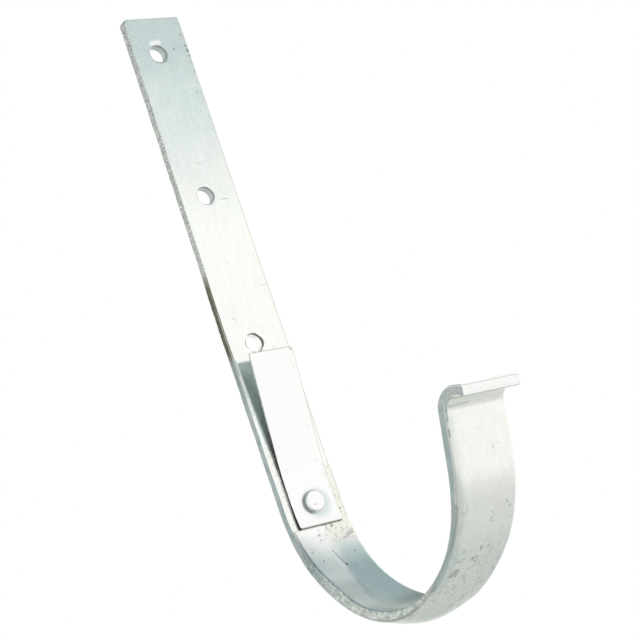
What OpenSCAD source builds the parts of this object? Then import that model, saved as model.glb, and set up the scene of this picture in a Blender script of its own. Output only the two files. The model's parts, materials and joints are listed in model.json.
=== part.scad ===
// Gutter bracket: a flat steel bar with three screw holes, bent into a half-round
// hook that carries the gutter and ends in an outward lip, with a thin retaining
// strap riveted to the stem just above the hook.
//
// Frame: +Z up the stem, +X from the wall towards the gutter's front edge, Y along
// the gutter. The origin is the centre of the middle screw hole on the back face.

/* [Bar] */
// Width of the flat bar
bar_width = 25; // [20:0.5:40]
// Thickness of the flat bar
bar_thickness = 4; // [3:0.5:6]
// Rounding along the bar's four long edges
edge_round = 0.8; // [0.2:0.1:1.4]
// Rounding of the corners at the bar's two ends
corner_round = 1.8; // [0.5:0.1:2.8]

/* [Screw holes] */
// Diameter of the screw holes
hole_diameter = 7.4; // [5:0.1:9]
// Distance from one screw hole to the next
hole_pitch = 61; // [45:1:80]
// Distance from the top screw hole's centre to the end of the bar
hole_margin = 15.4; // [10:0.1:30]
// Distance from the line of holes to the middle of the bar's width
hole_offset = 1.6; // [0:0.1:3]

/* [Hook] */
// Height at which the stem starts to bend, above the rivet's centre
bend_rise = 2.4; // [0:0.1:6]
// Inner radius of the hook's back part, below the stem
back_radius = 53.4; // [45:0.1:80]
// Angle of the hook's back part
back_angle = 89; // [80:1:95]
// Inner radius of the hook's front part
front_radius = 47.4; // [40:0.1:75]
// Angle of the hook's front part
front_angle = 74.5; // [60:0.5:85]
// Straight length of the arm, from the hook to the bend of the lip
arm_length = 18.9; // [5:0.1:40]
// Inner radius of the bend between arm and lip
lip_radius = 5; // [3:0.5:8]
// Angle of the bend between arm and lip
lip_angle = 90; // [70:1:100]
// Straight length of the lip past its bend
lip_length = 5; // [3:0.1:15]

/* [Strap] */
// Width of the retaining strap
strap_width = 19.4; // [14:0.1:20]
// Thickness of the strap's sheet
strap_thickness = 1; // [0.6:0.1:2]
// Length of the strap along its sheet
strap_length = 68.3; // [55:0.1:70]
// Length of the strap below the rivet's centre
strap_foot = 9.3; // [7:0.1:14]
// Length of the strap that lies flat on the stem above the hook's bend
strap_seat = 4.7; // [3:0.1:8]
// Inner radius of the bend that lifts the strap off the stem
strap_bend_radius = 124; // [20:1:150]
// Angle between the strap's free part and the stem
strap_lean = 6.9; // [2:0.1:9]

/* [Rivet] */
// Distance from the lowest screw hole's centre to the rivet's centre
rivet_drop = 64.2; // [60:0.1:90]
// Diameter of the rivet's shank and of the holes that it fills
shank_diameter = 5; // [3:0.1:6]
// Diameter of the rivet's head
head_diameter = 8.6; // [7:0.1:12]
// Height of the rivet's head above the strap
head_height = 2; // [1:0.1:3]
// Width of the bevel round the top of the head
head_bevel = 0.4; // [0.1:0.1:0.8]
// Diameter of the flush countersunk tail on the back face
tail_diameter = 8; // [6.5:0.1:10]
// Depth of the countersink for the tail
tail_depth = 1.6; // [0.8:0.1:2]

/* [Hidden] */
$fn = 96;

// Cutting tools run past the faces that they cut by this much
past = 1;
rivet_z = -hole_pitch - rivet_drop;
bend_z = rivet_z + bend_rise;
stem_top = hole_pitch + hole_margin;
// The strap's foot follows the hook's back part, measured along its outer side
foot_angle = (strap_foot + bend_rise) / back_radius * 180 / PI;
// Distance from the strap's back face to the centre of its bend
strap_reach = strap_bend_radius + strap_thickness;
strap_curve = strap_bend_radius * strap_lean * PI / 180;
strap_free = strap_length - strap_foot - bend_rise - strap_seat - strap_curve;
// The strap's bend is gentle enough to be drawn in this many flat steps
bend_steps = 12;

// Section across a bar or sheet: thickness along X from 0, width along Y
module section(thickness, width, round) {
    straight = width - 2 * round;
    if (round > 0) {
        translate([round, -width / 2]) square([thickness - 2 * round, width]);
        translate([0, -straight / 2]) square([thickness, straight]);
        for (x = [round, thickness - round], y = [-straight / 2, straight / 2])
            translate([x, y]) circle(r = round);
    } else {
        translate([0, -width / 2]) square([thickness, width]);
    }
}

// In the modules below the bar runs down -Z, with its back face at X = 0.

module straight(length) {
    translate([0, 0, -length]) linear_extrude(length) children();
}

// Bend towards +X, the side of the front face at X = thickness. It is a half ring, cut
// off square where the bend ends, so that the next piece starts on the very same plane.
module bend_forward(radius, angle, thickness) {
    reach = radius + thickness;
    difference() {
        translate([reach, 0, 0]) rotate([90, 0, 0]) rotate([0, 0, 180])
            rotate_extrude(angle = 180) translate([reach, 0]) mirror([1, 0]) children();
        after_forward(radius, angle, thickness) translate([-past, -bar_width, -2 * reach])
            cube([2 * reach + 2 * past, 2 * bar_width, 2 * reach]);
    }
}

// Carries what comes after such a bend to the bend's end
module after_forward(radius, angle, thickness) {
    reach = radius + thickness;
    translate([reach, 0, 0]) rotate([0, -angle, 0]) translate([-reach, 0, 0]) children();
}

// Bend towards -X, the side of the back face
module bend_backward(radius, angle) {
    reach = radius + bar_thickness;
    difference() {
        translate([-radius, 0, 0]) rotate([90, 0, 0]) rotate([0, 0, -180])
            rotate_extrude(angle = 180) translate([radius, 0]) children();
        after_backward(radius, angle) translate([-radius - reach - past, -bar_width, -2 * reach])
            cube([2 * reach + 2 * past, 2 * bar_width, 2 * reach]);
    }
}

module after_backward(radius, angle) {
    translate([-radius, 0, 0]) rotate([0, angle, 0]) translate([radius, 0, 0]) children();
}

// Plate with its two lower corners rounded, which trims the end of a straight piece
module end_outline(length) {
    rotate([90, 0, 90]) translate([0, 0, -past]) linear_extrude(bar_thickness + 2 * past) {
        translate([-bar_width / 2, -length + corner_round])
            square([bar_width, length - corner_round]);
        translate([-bar_width / 2 + corner_round, -length])
            square([bar_width - 2 * corner_round, length]);
        for (side = [-1, 1])
            translate([side * (bar_width / 2 - corner_round), -length + corner_round])
                circle(r = corner_round);
    }
}

module bar_end(length) {
    intersection() {
        straight(length) bar_section();
        end_outline(length);
    }
}

module bar_section() {
    section(bar_thickness, bar_width, edge_round);
}

// Puts the bar's width about the middle of the bar, beside the line of holes
module on_bar() {
    translate([0, hole_offset, 0]) children();
}

// The whole bar before its holes are punched
module bar_blank() {
    on_bar() {
        mirror([0, 0, 1]) bar_end(stem_top);
        straight(-bend_z) bar_section();
        translate([0, 0, bend_z]) {
            bend_forward(back_radius, back_angle, bar_thickness) bar_section();
            after_forward(back_radius, back_angle, bar_thickness) {
                bend_forward(front_radius, front_angle, bar_thickness) bar_section();
                after_forward(front_radius, front_angle, bar_thickness) {
                    straight(arm_length) bar_section();
                    translate([0, 0, -arm_length]) {
                        bend_backward(lip_radius, lip_angle) bar_section();
                        after_backward(lip_radius, lip_angle) bar_end(lip_length);
                    }
                }
            }
        }
    }
}

module through_hole(diameter) {
    translate([-past, 0, 0]) rotate([0, 90, 0])
        cylinder(h = bar_thickness + strap_thickness + 2 * past, d = diameter);
}

module rivet_tail() {
    rotate([0, 90, 0]) cylinder(h = tail_depth, d1 = tail_diameter, d2 = shank_diameter);
}

// Flat bar: stem with three holes, half-round hook, arm and lip
module hook_bar() {
    color("#b9c2c1") difference() {
        bar_blank();
        for (z = [hole_pitch, 0, -hole_pitch]) translate([0, 0, z]) through_hole(hole_diameter);
        on_bar() translate([0, 0, rivet_z]) {
            through_hole(shank_diameter);
            rivet_tail();
        }
    }
}

// One side of the strap's bend and of its free part, in side view: X off the bar, Y up
function lifted_side(radius) = [
    for (step = [0:bend_steps])
        let (turn = strap_lean * step / bend_steps)
            [strap_reach - radius * cos(turn), strap_seat + radius * sin(turn)],
    [strap_reach - radius * cos(strap_lean) + strap_free * sin(strap_lean),
     strap_seat + radius * sin(strap_lean) + strap_free * cos(strap_lean)]
];

function reversed(points) = [for (i = [len(points) - 1:-1:0]) points[i]];

// The strap before its hole is punched: it follows the bar's front face, then leans off it
module strap_blank() {
    on_bar() translate([bar_thickness, 0, bend_z]) {
        bend_forward(back_radius - strap_thickness, foot_angle, strap_thickness)
            section(strap_thickness, strap_width, 0);
        rotate([90, 0, 0]) linear_extrude(strap_width, center = true)
            polygon(concat([[0, 0]], lifted_side(strap_reach),
                reversed(lifted_side(strap_bend_radius)), [[strap_thickness, 0]]));
    }
}

// Thin sheet strip that is bent over the gutter's back edge to hold it down
module retaining_strap() {
    color("#dfe6e6") difference() {
        strap_blank();
        on_bar() translate([0, 0, rivet_z]) through_hole(shank_diameter);
    }
}

// Flat-headed rivet, with its tail hammered flush into the bar's back
module rivet() {
    head_top = bar_thickness + strap_thickness + head_height;
    color("#cfd6d6") {
        difference() {
            on_bar() translate([0, 0, rivet_z]) rotate([0, 90, 0]) {
                cylinder(h = head_top - head_bevel, d = head_diameter);
                translate([0, 0, head_top - head_bevel])
                    cylinder(h = head_bevel, d1 = head_diameter, d2 = head_diameter - 2 * head_bevel);
            }
            bar_blank();
            strap_blank();
        }
        on_bar() translate([0, 0, rivet_z]) {
            rotate([0, 90, 0]) cylinder(h = head_top - head_bevel, d = shank_diameter);
            rivet_tail();
        }
    }
}

hook_bar();
retaining_strap();
rivet();
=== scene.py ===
# %% [markdown]
# # A galvanised gutter bracket
# A gutter bracket is a flat steel bar that is sheared to length, punched, and bent cold round
# a former until its lower end is a half-round hook. A thin sheet strap is riveted over the
# start of the hook: on the house it is folded by hand over the gutter's back edge. The whole
# bracket is dipped in molten zinc. This lesson builds the three pieces as surfaces worked out
# with numpy, and then gives them a zinc skin with shader nodes.
#
# The solid model of the bracket is loaded first. It says where everything is.

# %% Load the solid model
import json

import bpy
import numpy as np
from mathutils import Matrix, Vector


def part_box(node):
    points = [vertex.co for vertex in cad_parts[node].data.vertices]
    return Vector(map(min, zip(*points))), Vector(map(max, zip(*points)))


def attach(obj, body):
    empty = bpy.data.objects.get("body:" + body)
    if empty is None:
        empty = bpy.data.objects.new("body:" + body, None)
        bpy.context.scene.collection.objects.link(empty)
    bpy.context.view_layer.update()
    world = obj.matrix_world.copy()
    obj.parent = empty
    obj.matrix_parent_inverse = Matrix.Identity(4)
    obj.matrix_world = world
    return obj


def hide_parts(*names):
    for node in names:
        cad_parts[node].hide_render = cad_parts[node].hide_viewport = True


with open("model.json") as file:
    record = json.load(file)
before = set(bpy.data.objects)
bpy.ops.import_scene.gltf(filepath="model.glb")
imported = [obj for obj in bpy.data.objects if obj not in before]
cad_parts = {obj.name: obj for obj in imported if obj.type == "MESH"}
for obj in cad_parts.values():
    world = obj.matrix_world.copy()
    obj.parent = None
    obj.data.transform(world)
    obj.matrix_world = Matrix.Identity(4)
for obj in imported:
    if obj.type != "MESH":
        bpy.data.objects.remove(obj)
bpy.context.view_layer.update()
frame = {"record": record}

# %% [markdown]
# ## The camera
# The camera comes first, because it decides which marks are worth making. A long lens from
# below and to one side shows the front of the stem, the inside of the hook's back part and the
# outside of its front part. The bracket hangs a little tilted in this view, and since the
# bracket itself stays upright, the camera is rolled instead. Azimuth is counted from the -Y
# side towards +X, and elevation from the horizon up.

# %% Aim the camera
MM = 0.001
CAMERA_PLACE = np.array([595.7, -395.9, -225.1]) * MM
CAMERA_AZIMUTH = np.radians(54.13)
CAMERA_ELEVATION = np.radians(-12.99)
CAMERA_ROLL = np.radians(-18.91)
LENS = 109.12


def axes_of_view(azimuth, elevation, roll):
    """Right, up and back of a camera: back points from the subject to the camera, right is
    level before the roll, and the roll turns right and up about back."""
    level = np.array([np.cos(azimuth), np.sin(azimuth), 0.0])
    ahead = np.array([np.sin(azimuth), -np.cos(azimuth), 0.0])
    back = np.cos(elevation) * ahead + np.sin(elevation) * np.array([0.0, 0.0, 1.0])
    upright = np.cross(back, level)
    right = np.cos(roll) * level + np.sin(roll) * upright
    return right, np.cross(back, right), back


def placed(place, right, up, back):
    """Matrix of an object at a place whose own X, Y and Z point along right, up and back."""
    matrix = np.eye(4)
    matrix[:3, :] = np.column_stack([right, up, back, place])
    return matrix


camera = bpy.data.objects.new("camera", bpy.data.cameras.new("camera"))
bpy.context.scene.collection.objects.link(camera)
camera.data.sensor_width = 36.0
camera.data.lens = LENS
view_axes = axes_of_view(CAMERA_AZIMUTH, CAMERA_ELEVATION, CAMERA_ROLL)
camera.matrix_world = placed(CAMERA_PLACE, *view_axes).T.tolist()
bpy.context.scene.camera = camera
bpy.context.scene.view_settings.view_transform = "Standard"
print("camera is", round(float(np.linalg.norm(CAMERA_PLACE)), 3), "m from the middle screw hole")

# %% [markdown]
# ## The line that the bar follows
# A bent bar is easiest to describe by its middle line: how long each stretch is, and how far
# it turns. The direction changes evenly along a bend, so the turn at any place is a straight
# blend between the ends of the stretches, and the place itself is the sum of many tiny steps
# in that direction. Turning is positive towards the gutter, and 0 means straight down.
#
# Distances along the bar are counted from the top end of the stem. The sizes are those of the
# solid model; its box gives the top and the width.

# %% Sizes of the line
BAR_THICKNESS = 4.0 * MM
BACK_RADIUS = 53.4 * MM
BACK_ANGLE = np.radians(89)
FRONT_RADIUS = 47.4 * MM
FRONT_ANGLE = np.radians(74.5)
ARM_LENGTH = 18.9 * MM
LIP_RADIUS = 5.0 * MM
LIP_ANGLE = np.radians(90)
LIP_LENGTH = 5.0 * MM
BEND_HEIGHT = -122.8 * MM

bar_low, bar_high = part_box("hook_bar")
BAR_WIDTH = bar_high.y - bar_low.y
BAR_MIDDLE = (bar_high.y + bar_low.y) / 2
STEM_TOP = bar_high.z
print("the bar is", round(BAR_WIDTH / MM, 2), "mm wide, and its top is at", round(STEM_TOP / MM, 2))

# %% [markdown]
# A curve object could be bent the same way, but a function is handier here: it gives the place
# for any distance, and the strap can use it too.

# %% Describe a bent line
def bent_line(lengths, turns, first_turn=0.0, steps=20000):
    """Line of straight stretches and arcs in the XZ plane, from (0, 0) downwards. Returns a
    function that gives x, z and the turn at distances along it. The turn is a straight blend
    between the stretches' ends; x is the sum of steps times the sine of the turn, and z is
    minus the sum of steps times its cosine."""
    ends = np.concatenate([[0], np.cumsum(lengths)])
    turn_at_ends = first_turn + np.concatenate([[0], np.cumsum(turns)])
    fine = np.linspace(0, ends[-1], steps)
    turn = np.interp(fine, ends, turn_at_ends)

    def summed(rate):
        parts = (rate[1:] + rate[:-1]) / 2 * np.diff(fine)
        return np.concatenate([[0], np.cumsum(parts)])

    x, z = summed(np.sin(turn)), -summed(np.cos(turn))

    def at(along):
        return (np.interp(along, fine, x), np.interp(along, fine, z), np.interp(along, fine, turn))

    return at, ends


half = BAR_THICKNESS / 2
bar_at, bar_ends = bent_line(
    [STEM_TOP - BEND_HEIGHT, (BACK_RADIUS + half) * BACK_ANGLE,
     (FRONT_RADIUS + half) * FRONT_ANGLE, ARM_LENGTH, (LIP_RADIUS + half) * LIP_ANGLE,
     LIP_LENGTH],
    [0, BACK_ANGLE, FRONT_ANGLE, 0, -LIP_ANGLE, 0],
)
print("the bar is", round(bar_ends[-1] / MM, 1), "mm long before bending")

# %% [markdown]
# ## Small helpers for handmade steel
# A real bar is never true: its edges drift, and its sheared sides are torn. Wide drifts are
# sums of soft bumps. Fine wear is value noise: random numbers on a lattice, blended smoothly
# between the lattice points. The seeds are fixed, so every run gives the same bracket.

# %% Bumps and noise
def soft_bumps(along, bumps):
    """Sum of bumps. Each (place, reach, height) in millimetres adds its height times
    e to the minus square of (distance from its place, over its reach)."""
    total = np.zeros_like(along)
    for place, reach, height in bumps:
        total += height * MM * np.exp(-(((along - place * MM) / (reach * MM)) ** 2))
    return total


def value_noise(x, y, seed):
    """Smooth noise from -1 to 1. Random values sit on a unit lattice, and between them the
    blend follows 3t^2 - 2t^3, so that no lattice line shows."""
    lattice = np.random.default_rng(seed).uniform(-1, 1, (512, 512))
    cell_x, cell_y = np.floor(x).astype(int), np.floor(y).astype(int)
    step_x, step_y = x - cell_x, y - cell_y
    blend_x = step_x**2 * (3 - 2 * step_x)
    blend_y = step_y**2 * (3 - 2 * step_y)

    def value(dx, dy):
        return lattice[(cell_x + dx) % 512, (cell_y + dy) % 512]

    low = value(0, 0) * (1 - blend_x) + value(1, 0) * blend_x
    high = value(0, 1) * (1 - blend_x) + value(1, 1) * blend_x
    return low * (1 - blend_y) + high * blend_y


test_bump = soft_bumps(np.array([100, 110]) * MM, [(100, 10, 1)]) / MM
print("a bump of 1 mm is", test_bump.round(3).tolist(), "mm high at its place and at its reach")

# %% [markdown]
# ## A flat bar as one grid
# Bar and strap are both a flat section carried along a line. The section is a closed loop of
# points: across the front face, round a corner, through the thickness, and back across the
# rear face. Repeating the loop at many places along the line gives a grid, and neighbouring
# points of the grid make its faces.
#
# A punched hole fits into such a grid without any boolean. The rows and columns round the hole
# are spaced evenly, the small square in the middle is left out, and the squares round it are
# warped so that the inner square becomes the circle while the outer square stays as it was.

# %% Spacing of rows and columns
def spaced(low, high, step, blocks):
    """Places from low to high about one step apart. Each block (middle, half size, cells) gets
    exactly that many equal cells."""
    places = [low]
    for middle, reach, cells in sorted(blocks):
        gap = middle - reach - places[-1]
        count = max(1, round(gap / step))
        places += list(places[-1] + gap * np.arange(1, count + 1) / count)
        places += list(middle - reach + 2 * reach * np.arange(1, cells + 1) / cells)
    gap = high - places[-1]
    count = max(1, round(gap / step))
    places += list(places[-1] + gap * np.arange(1, count + 1) / count)
    return np.array(places)


def section_loop(columns, width, depth, edge_round, corner_steps, side_steps):
    """Closed loop round a flat section, as (across, deep). It runs over the front face at
    minus half the depth, round a quarter circle, through the thickness and back. The first
    len(columns) points are the front face, and the rear face has the same columns reversed."""
    arc = np.linspace(0, np.pi / 2, corner_steps + 2)[1:-1]
    side_deep = np.linspace(-1, 1, side_steps + 2) * (depth / 2 - edge_round)
    arc_across = width / 2 - edge_round * (1 - np.sin(arc))
    arc_deep = -depth / 2 + edge_round * (1 - np.cos(arc))
    far_across = np.concatenate([arc_across, np.full_like(side_deep, width / 2), arc_across[::-1]])
    far_deep = np.concatenate([arc_deep, side_deep, -arc_deep[::-1]])
    flat = np.full(len(columns), depth / 2)
    across = np.concatenate([columns, far_across, columns[::-1], -far_across])
    deep = np.concatenate([-flat, far_deep, flat, far_deep[::-1]])
    return across, deep


print("spaced out round a hole:", spaced(0.0, 10.0, 2.0, [(5.0, 1.0, 4)]).tolist())

# %% [markdown]
# ## Holes and corners
# The next two functions move points of that grid: those round a hole, until they lie on a
# circle, and those at the bar's ends, until the outline's corners are round. Both work on the
# flat bar, before it is bent, where a circle is a circle.

# %% Warp the grid round holes
def warped_round_hole(along, across, hole, radius):
    """Moves points within the hole's block. With m the larger of the two distances from the
    centre, and b and c the half sizes of the block and of the open square, a point keeps its
    direction and its distance becomes the radius plus t^1.3 times what is left to the block's
    border, where t = (m - c) / (b - c)."""
    middle, side, block, opening = hole["middle"], hole["side"], hole["block"], hole["opening"]
    da, db = along - middle, across - side
    larger = np.maximum(np.abs(da), np.abs(db))
    inside = (larger < block * 0.9999) & (larger > opening * 0.99)
    distance = np.where(inside, np.hypot(da, db), 1.0)
    border = distance * block / np.where(inside, larger, 1.0)
    share = np.clip((larger - opening) / (block - opening), 0, 1) ** 1.3
    stretch = np.where(inside, (radius + (border - radius) * share) / distance, 1.0)
    return middle + da * stretch, side + db * stretch


def round_the_ends(along, across, deep, width, depth, corners, chamfer):
    """Outline's corners at both ends: at a distance d from the end, closer than the corner's
    radius r, the half width loses r minus the root of r^2 - (r - d)^2. corners gives r at the
    start's near and far side and at the other end's. The last row is drawn in by the chamfer."""
    start, finish = along - along[0, 0], along[-1, 0] - along
    near = across < 0
    corner = np.where(
        start < finish,
        np.where(near, corners[0], corners[1]),
        np.where(near, corners[2], corners[3]),
    )
    from_end = np.minimum(np.minimum(start, finish), corner)
    inset = corner - np.sqrt(corner**2 - (corner - from_end) ** 2)
    across = across * (1 - inset / (width / 2))
    last = np.zeros(len(along), bool)
    last[[0, -1]] = True
    across[last] *= 1 - chamfer / (width / 2)
    deep[last] *= 1 - chamfer / (depth / 2)
    return across, deep


test_hole = dict(middle=0.0, side=0.0, block=2.0, opening=1.0)
moved = warped_round_hole(np.array([1.0]), np.array([1.0]), test_hole, 0.8)
print("a corner of the open square moves to", round(float(np.hypot(*moved)[0]), 3), "from 1.414")

# %% [markdown]
# ## Walls of the holes
# Each hole then needs a wall. The rim on the front face and the rim on the rear face have the
# same number of points, so a few rings between them make a ladder of faces. Where the rivet's
# tail fills a countersink, the wall's last ring is wider.

# %% List the rim and the wall of a hole
def square_ring(first_row, last_row, first_column, last_column):
    """Rows and columns of the points round the open square, in order."""
    down, over = np.arange(first_row, last_row), np.arange(first_column, last_column)
    rows = np.concatenate([
        np.full(len(over), first_row), down, np.full(len(over), last_row), down[::-1] + 1,
    ])
    columns = np.concatenate([
        over, np.full(len(down), last_column), over[::-1] + 1, np.full(len(down), first_column),
    ])
    return rows, columns


def wall_of_hole(grid, front, back, rings, start):
    """New points and the faces between a front rim and a back rim. Each ring (down, wider)
    goes that share of the way from one to the other, in depth and in size. The new points
    are numbered from start on."""
    shares = [np.array([wider, wider, down]) for down, wider in rings]
    points = [grid[front] * (1 - share) + grid[back] * share for share in shares]
    between = [start + ring * len(front) + np.arange(len(front)) for ring in range(len(rings))]
    ladder = np.array([front, *between, back])
    turned = np.roll(ladder, -1, axis=1)
    return points, np.stack([ladder[:-1], ladder[1:], turned[1:], turned[:-1]], -1).reshape(-1, 4)


print("round an open square of 2 by 2 lie", len(square_ring(0, 2, 0, 2)[0]), "points")

# %% [markdown]
# ## The skin
# Finishes have to know where they are on the bar: its sheared side needs other nodes than its
# rolled face, and a stain belongs to one stretch of it. So each corner of each face gets the
# distance along the bar, the distance round the section, and how torn the steel is. This is
# a map in metres, so a mark 3 mm long is 3 mm long wherever it lies.

# %% Lay the skin on the grid
def skin_of_grid(along, loop_across, loop_deep, torn_points):
    """For each face of the grid and each of its corners: along, round the section (the sum of
    the loop's steps), and 1 where the steel is torn."""
    step = np.hypot(*[np.diff(np.append(loop, loop[0])) for loop in (loop_across, loop_deep)])
    around = np.concatenate([[0], np.cumsum(step)])
    torn = np.zeros(len(around))
    torn[torn_points] = 1
    u = np.concatenate([along, along[:, :1]], 1)
    v, t = np.broadcast_to(around, u.shape), np.broadcast_to(torn, u.shape)
    first, later = slice(0, -1), slice(1, None)
    corners = [(first, first), (later, first), (later, later), (first, later)]
    return np.stack([np.stack([part[c] for c in corners], -1) for part in (u, v, t)], -1)


test_loop = section_loop(np.array([-1.0, 1.0]), 2.0, 1.0, 0.0, 1, 1)
test_skin = skin_of_grid(np.zeros((2, len(test_loop[0]))), *test_loop, [])
print("round a section of 2 by 1 the skin measures", test_skin[..., 1].max().round(3))

# %% [markdown]
# ## The whole grid
# The builder below returns plain arrays: for each point where it lies along, across and deep,
# then the faces and the skin. What turns those three numbers into a place in space is a
# separate function for each piece, so that the drift and wear of the real thing stay out of
# the grid.

# %% Build the grid of a flat bar
def flat_bar_grid(rows, columns, width, depth, edge_round, steps, holes, ends):
    """Grid of a flat bar with round holes. steps is (corner points, side points) of the section
    and ends is (corner radius, chamfer). Returns points as (along, across, deep), faces, and
    the skin: for each face's corners the place along and round the section, and 1 where the
    steel is torn, 0 where it is rolled or 0.5 in a punched hole."""
    corner_steps, side_steps = steps
    loop_across, loop_deep = section_loop(columns, width, depth, edge_round, *steps)
    count, size = len(loop_across), len(columns)
    rear = size + 2 * corner_steps + side_steps + 2
    along = np.repeat(rows[:, None], count, 1)
    across = np.repeat(loop_across[None, :], len(rows), 0)
    deep = np.repeat(loop_deep[None, :], len(rows), 0)
    across, deep = round_the_ends(along, across, deep, width, depth, *ends)

    index = np.arange(along.size).reshape(along.shape)
    quads = np.stack(
        [index[:-1], index[1:], np.roll(index, -1, 1)[1:], np.roll(index, -1, 1)[:-1]], -1
    )
    keep = np.ones(quads.shape[:2], bool)
    rings = []
    for hole in holes:
        hit_row = np.abs((rows[1:] + rows[:-1]) / 2 - hole["middle"]) < hole["opening"]
        hit = np.flatnonzero(
            np.abs((columns[1:] + columns[:-1]) / 2 - hole["side"]) < hole["opening"]
        )
        keep[np.ix_(hit_row, hit)] = False
        keep[np.ix_(hit_row, rear + size - 2 - hit)] = False
        hit_row = np.flatnonzero(hit_row)
        rings.append(square_ring(hit_row[0], hit_row[-1] + 1, hit[0], hit[-1] + 1))
        for face, radius in ((slice(0, size), "radius"), (slice(rear, rear + size), "rear")):
            along[:, face], across[:, face] = warped_round_hole(
                along[:, face], across[:, face], hole, hole[radius]
            )

    far_side = np.arange(size + corner_steps, size + corner_steps + side_steps + 2)
    body = skin_of_grid(along, loop_across, loop_deep, np.append(far_side, far_side + rear))
    faces, skin = [quads[keep]], [body[keep].reshape(-1, 3)]

    grid = np.stack([along, across, deep], -1).reshape(-1, 3)
    points = [grid]
    for hole, (ring_rows, ring_columns) in zip(holes, rings):
        front = index[ring_rows, ring_columns]
        back = index[ring_rows, rear + size - 1 - ring_columns]
        start = sum(len(part) for part in points)
        added_points, wall = wall_of_hole(grid, front, back, hole["wall"], start)
        points += added_points
        faces.append(wall)
        every = np.concatenate(points)[wall.ravel()]
        skin.append(
            np.column_stack([every[:, 0] + every[:, 1], every[:, 2], np.full(len(every), 0.5)])
        )
    caps = [index[0], index[-1][::-1]]
    for cap in caps:
        # the end faces are sheared too: their skin is read across and deep
        skin.append(np.column_stack([grid[cap, 0] + grid[cap, 2], grid[cap, 1],
                                     np.ones(len(cap))]))
    faces = np.concatenate(faces).tolist() + [cap.tolist() for cap in caps]
    return np.concatenate(points), faces, np.concatenate(skin)


test_grid = flat_bar_grid(np.arange(3.0), np.array([-1.0, 1.0]), 2.2, 1.0, 0.1, (1, 1), [],
                          (np.full(4, 0.1), 0.0))
print("a bare bar of 3 rows has", len(test_grid[0]), "points and", len(test_grid[1]), "faces")

# %% [markdown]
# ## From arrays to a piece
# Blender takes the arrays as they are. The piece rides on the bracket's only body and stands in
# for one node of the solid model. Its faces have to look outwards, and the enclosed volume tells
# whether they do: it comes out negative if they look inwards.

# %% Turn points and faces into a piece
SHARP_EDGE = np.radians(40)


def finish_piece(name, places, faces, skin, node):
    """Mesh object at the origin. The skin becomes a UV map in metres and a value that is 1 on
    torn steel. Edges that turn by more than SHARP_EDGE stay sharp. Six times the enclosed
    volume is the sum of each triangle's first corner times the cross product of the other
    two."""
    mesh = bpy.data.meshes.new(name)
    mesh.from_pydata(places.tolist(), [], faces)
    mesh.uv_layers.new(name="skin").data.foreach_set("uv", skin[:, :2].astype(np.float32).ravel())
    torn = mesh.attributes.new("torn", "FLOAT", "CORNER")
    torn.data.foreach_set("value", skin[:, 2].astype(np.float32))
    mesh.calc_loop_triangles()
    triangles = np.empty(len(mesh.loop_triangles) * 3, int)
    mesh.loop_triangles.foreach_get("vertices", triangles)
    a, b, c = places[triangles.reshape(-1, 3)].transpose(1, 0, 2)
    volume = np.sum(a * np.cross(b, c)) / 6
    if volume < 0:
        mesh.flip_normals()
    mesh.polygons.foreach_set("use_smooth", np.ones(len(faces), bool))
    mesh.set_sharp_from_angle(angle=SHARP_EDGE)
    piece = bpy.data.objects.new(name, mesh)
    bpy.context.scene.collection.objects.link(piece)
    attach(piece, "root")
    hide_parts(node)
    print(name, "has", len(triangles) // 3, "triangles and holds", round(volume * 1e9), "mm3")
    return piece


# %% [markdown]
# ## The hook bar
# The stem has three punched screw holes, and a fourth for the rivet. A punch drags the steel
# in at the rim, so the front face dips round each hole. The long sides are sheared and then
# hammered along with the bend, so they carry small nicks. The holes' places come from the
# mounts of the solid model, so that screws still fit.

# %% Sizes of the hook bar
record = frame["record"]
mounts = {mount["name"]: mount for mount in record["mounts"]}
SCREW_RADIUS = mounts["middle_screw_hole"]["dims"]["r_mm"] * MM
HOLE_PITCH = mounts["outer_screw_holes"]["dims"]["spacing_y_mm"] * MM / 2
rivet_low, rivet_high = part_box("rivet")
RIVET_HEIGHT = (rivet_low.z + rivet_high.z) / 2
GRID_STEP = 0.6 * MM
SHANK_RADIUS = 2.5 * MM
TAIL_RADIUS = 4.0 * MM
TAIL_DEPTH = 1.6 * MM
EDGE_ROUND = 0.8 * MM
CORNER_ROUND = 1.8 * MM
CELL = 6.5 * MM / 12
# the blocks round the holes, as half sizes; each block is twice as many cells wide
SCREW_BLOCK, RIVET_BLOCK = 12 * CELL, 9 * CELL

bar_columns = spaced(
    -BAR_WIDTH / 2 + EDGE_ROUND, BAR_WIDTH / 2 - EDGE_ROUND, GRID_STEP,
    [(-BAR_MIDDLE, SCREW_BLOCK, 24)],
)
screw_holes = [
    dict(middle=STEM_TOP - height, side=-BAR_MIDDLE, block=SCREW_BLOCK, opening=6 * CELL,
         radius=SCREW_RADIUS, rear=SCREW_RADIUS, wall=[(0.25, 0.25), (0.5, 0.5), (0.75, 0.75)])
    for height in (HOLE_PITCH, 0.0, -HOLE_PITCH)
]
# the rivet's hole takes the column nearest the middle; its wall widens over the tail's depth
rivet_hole = dict(
    middle=STEM_TOP - RIVET_HEIGHT, side=bar_columns[np.argmin(np.abs(bar_columns))],
    block=RIVET_BLOCK, opening=4 * CELL, radius=SHANK_RADIUS, rear=TAIL_RADIUS,
    wall=[(0.3, 0), (1 - TAIL_DEPTH / BAR_THICKNESS, 0)],
)

print("the grid has", len(bar_columns), "columns over each face")

# %% [markdown]
# The bend itself is handwork. Seen along the gutter, the two edges of the bar don't follow
# quite the same line: one wanders out where the other stays, and the outside of the hook is
# swollen at its lowest point, where the zinc ran together. Each edge of each face gets its own
# soft bumps, and the surface between them is a straight blend plus an arch of its own. A faint
# fold, where the former pressed, runs down the inside of the hook.

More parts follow.
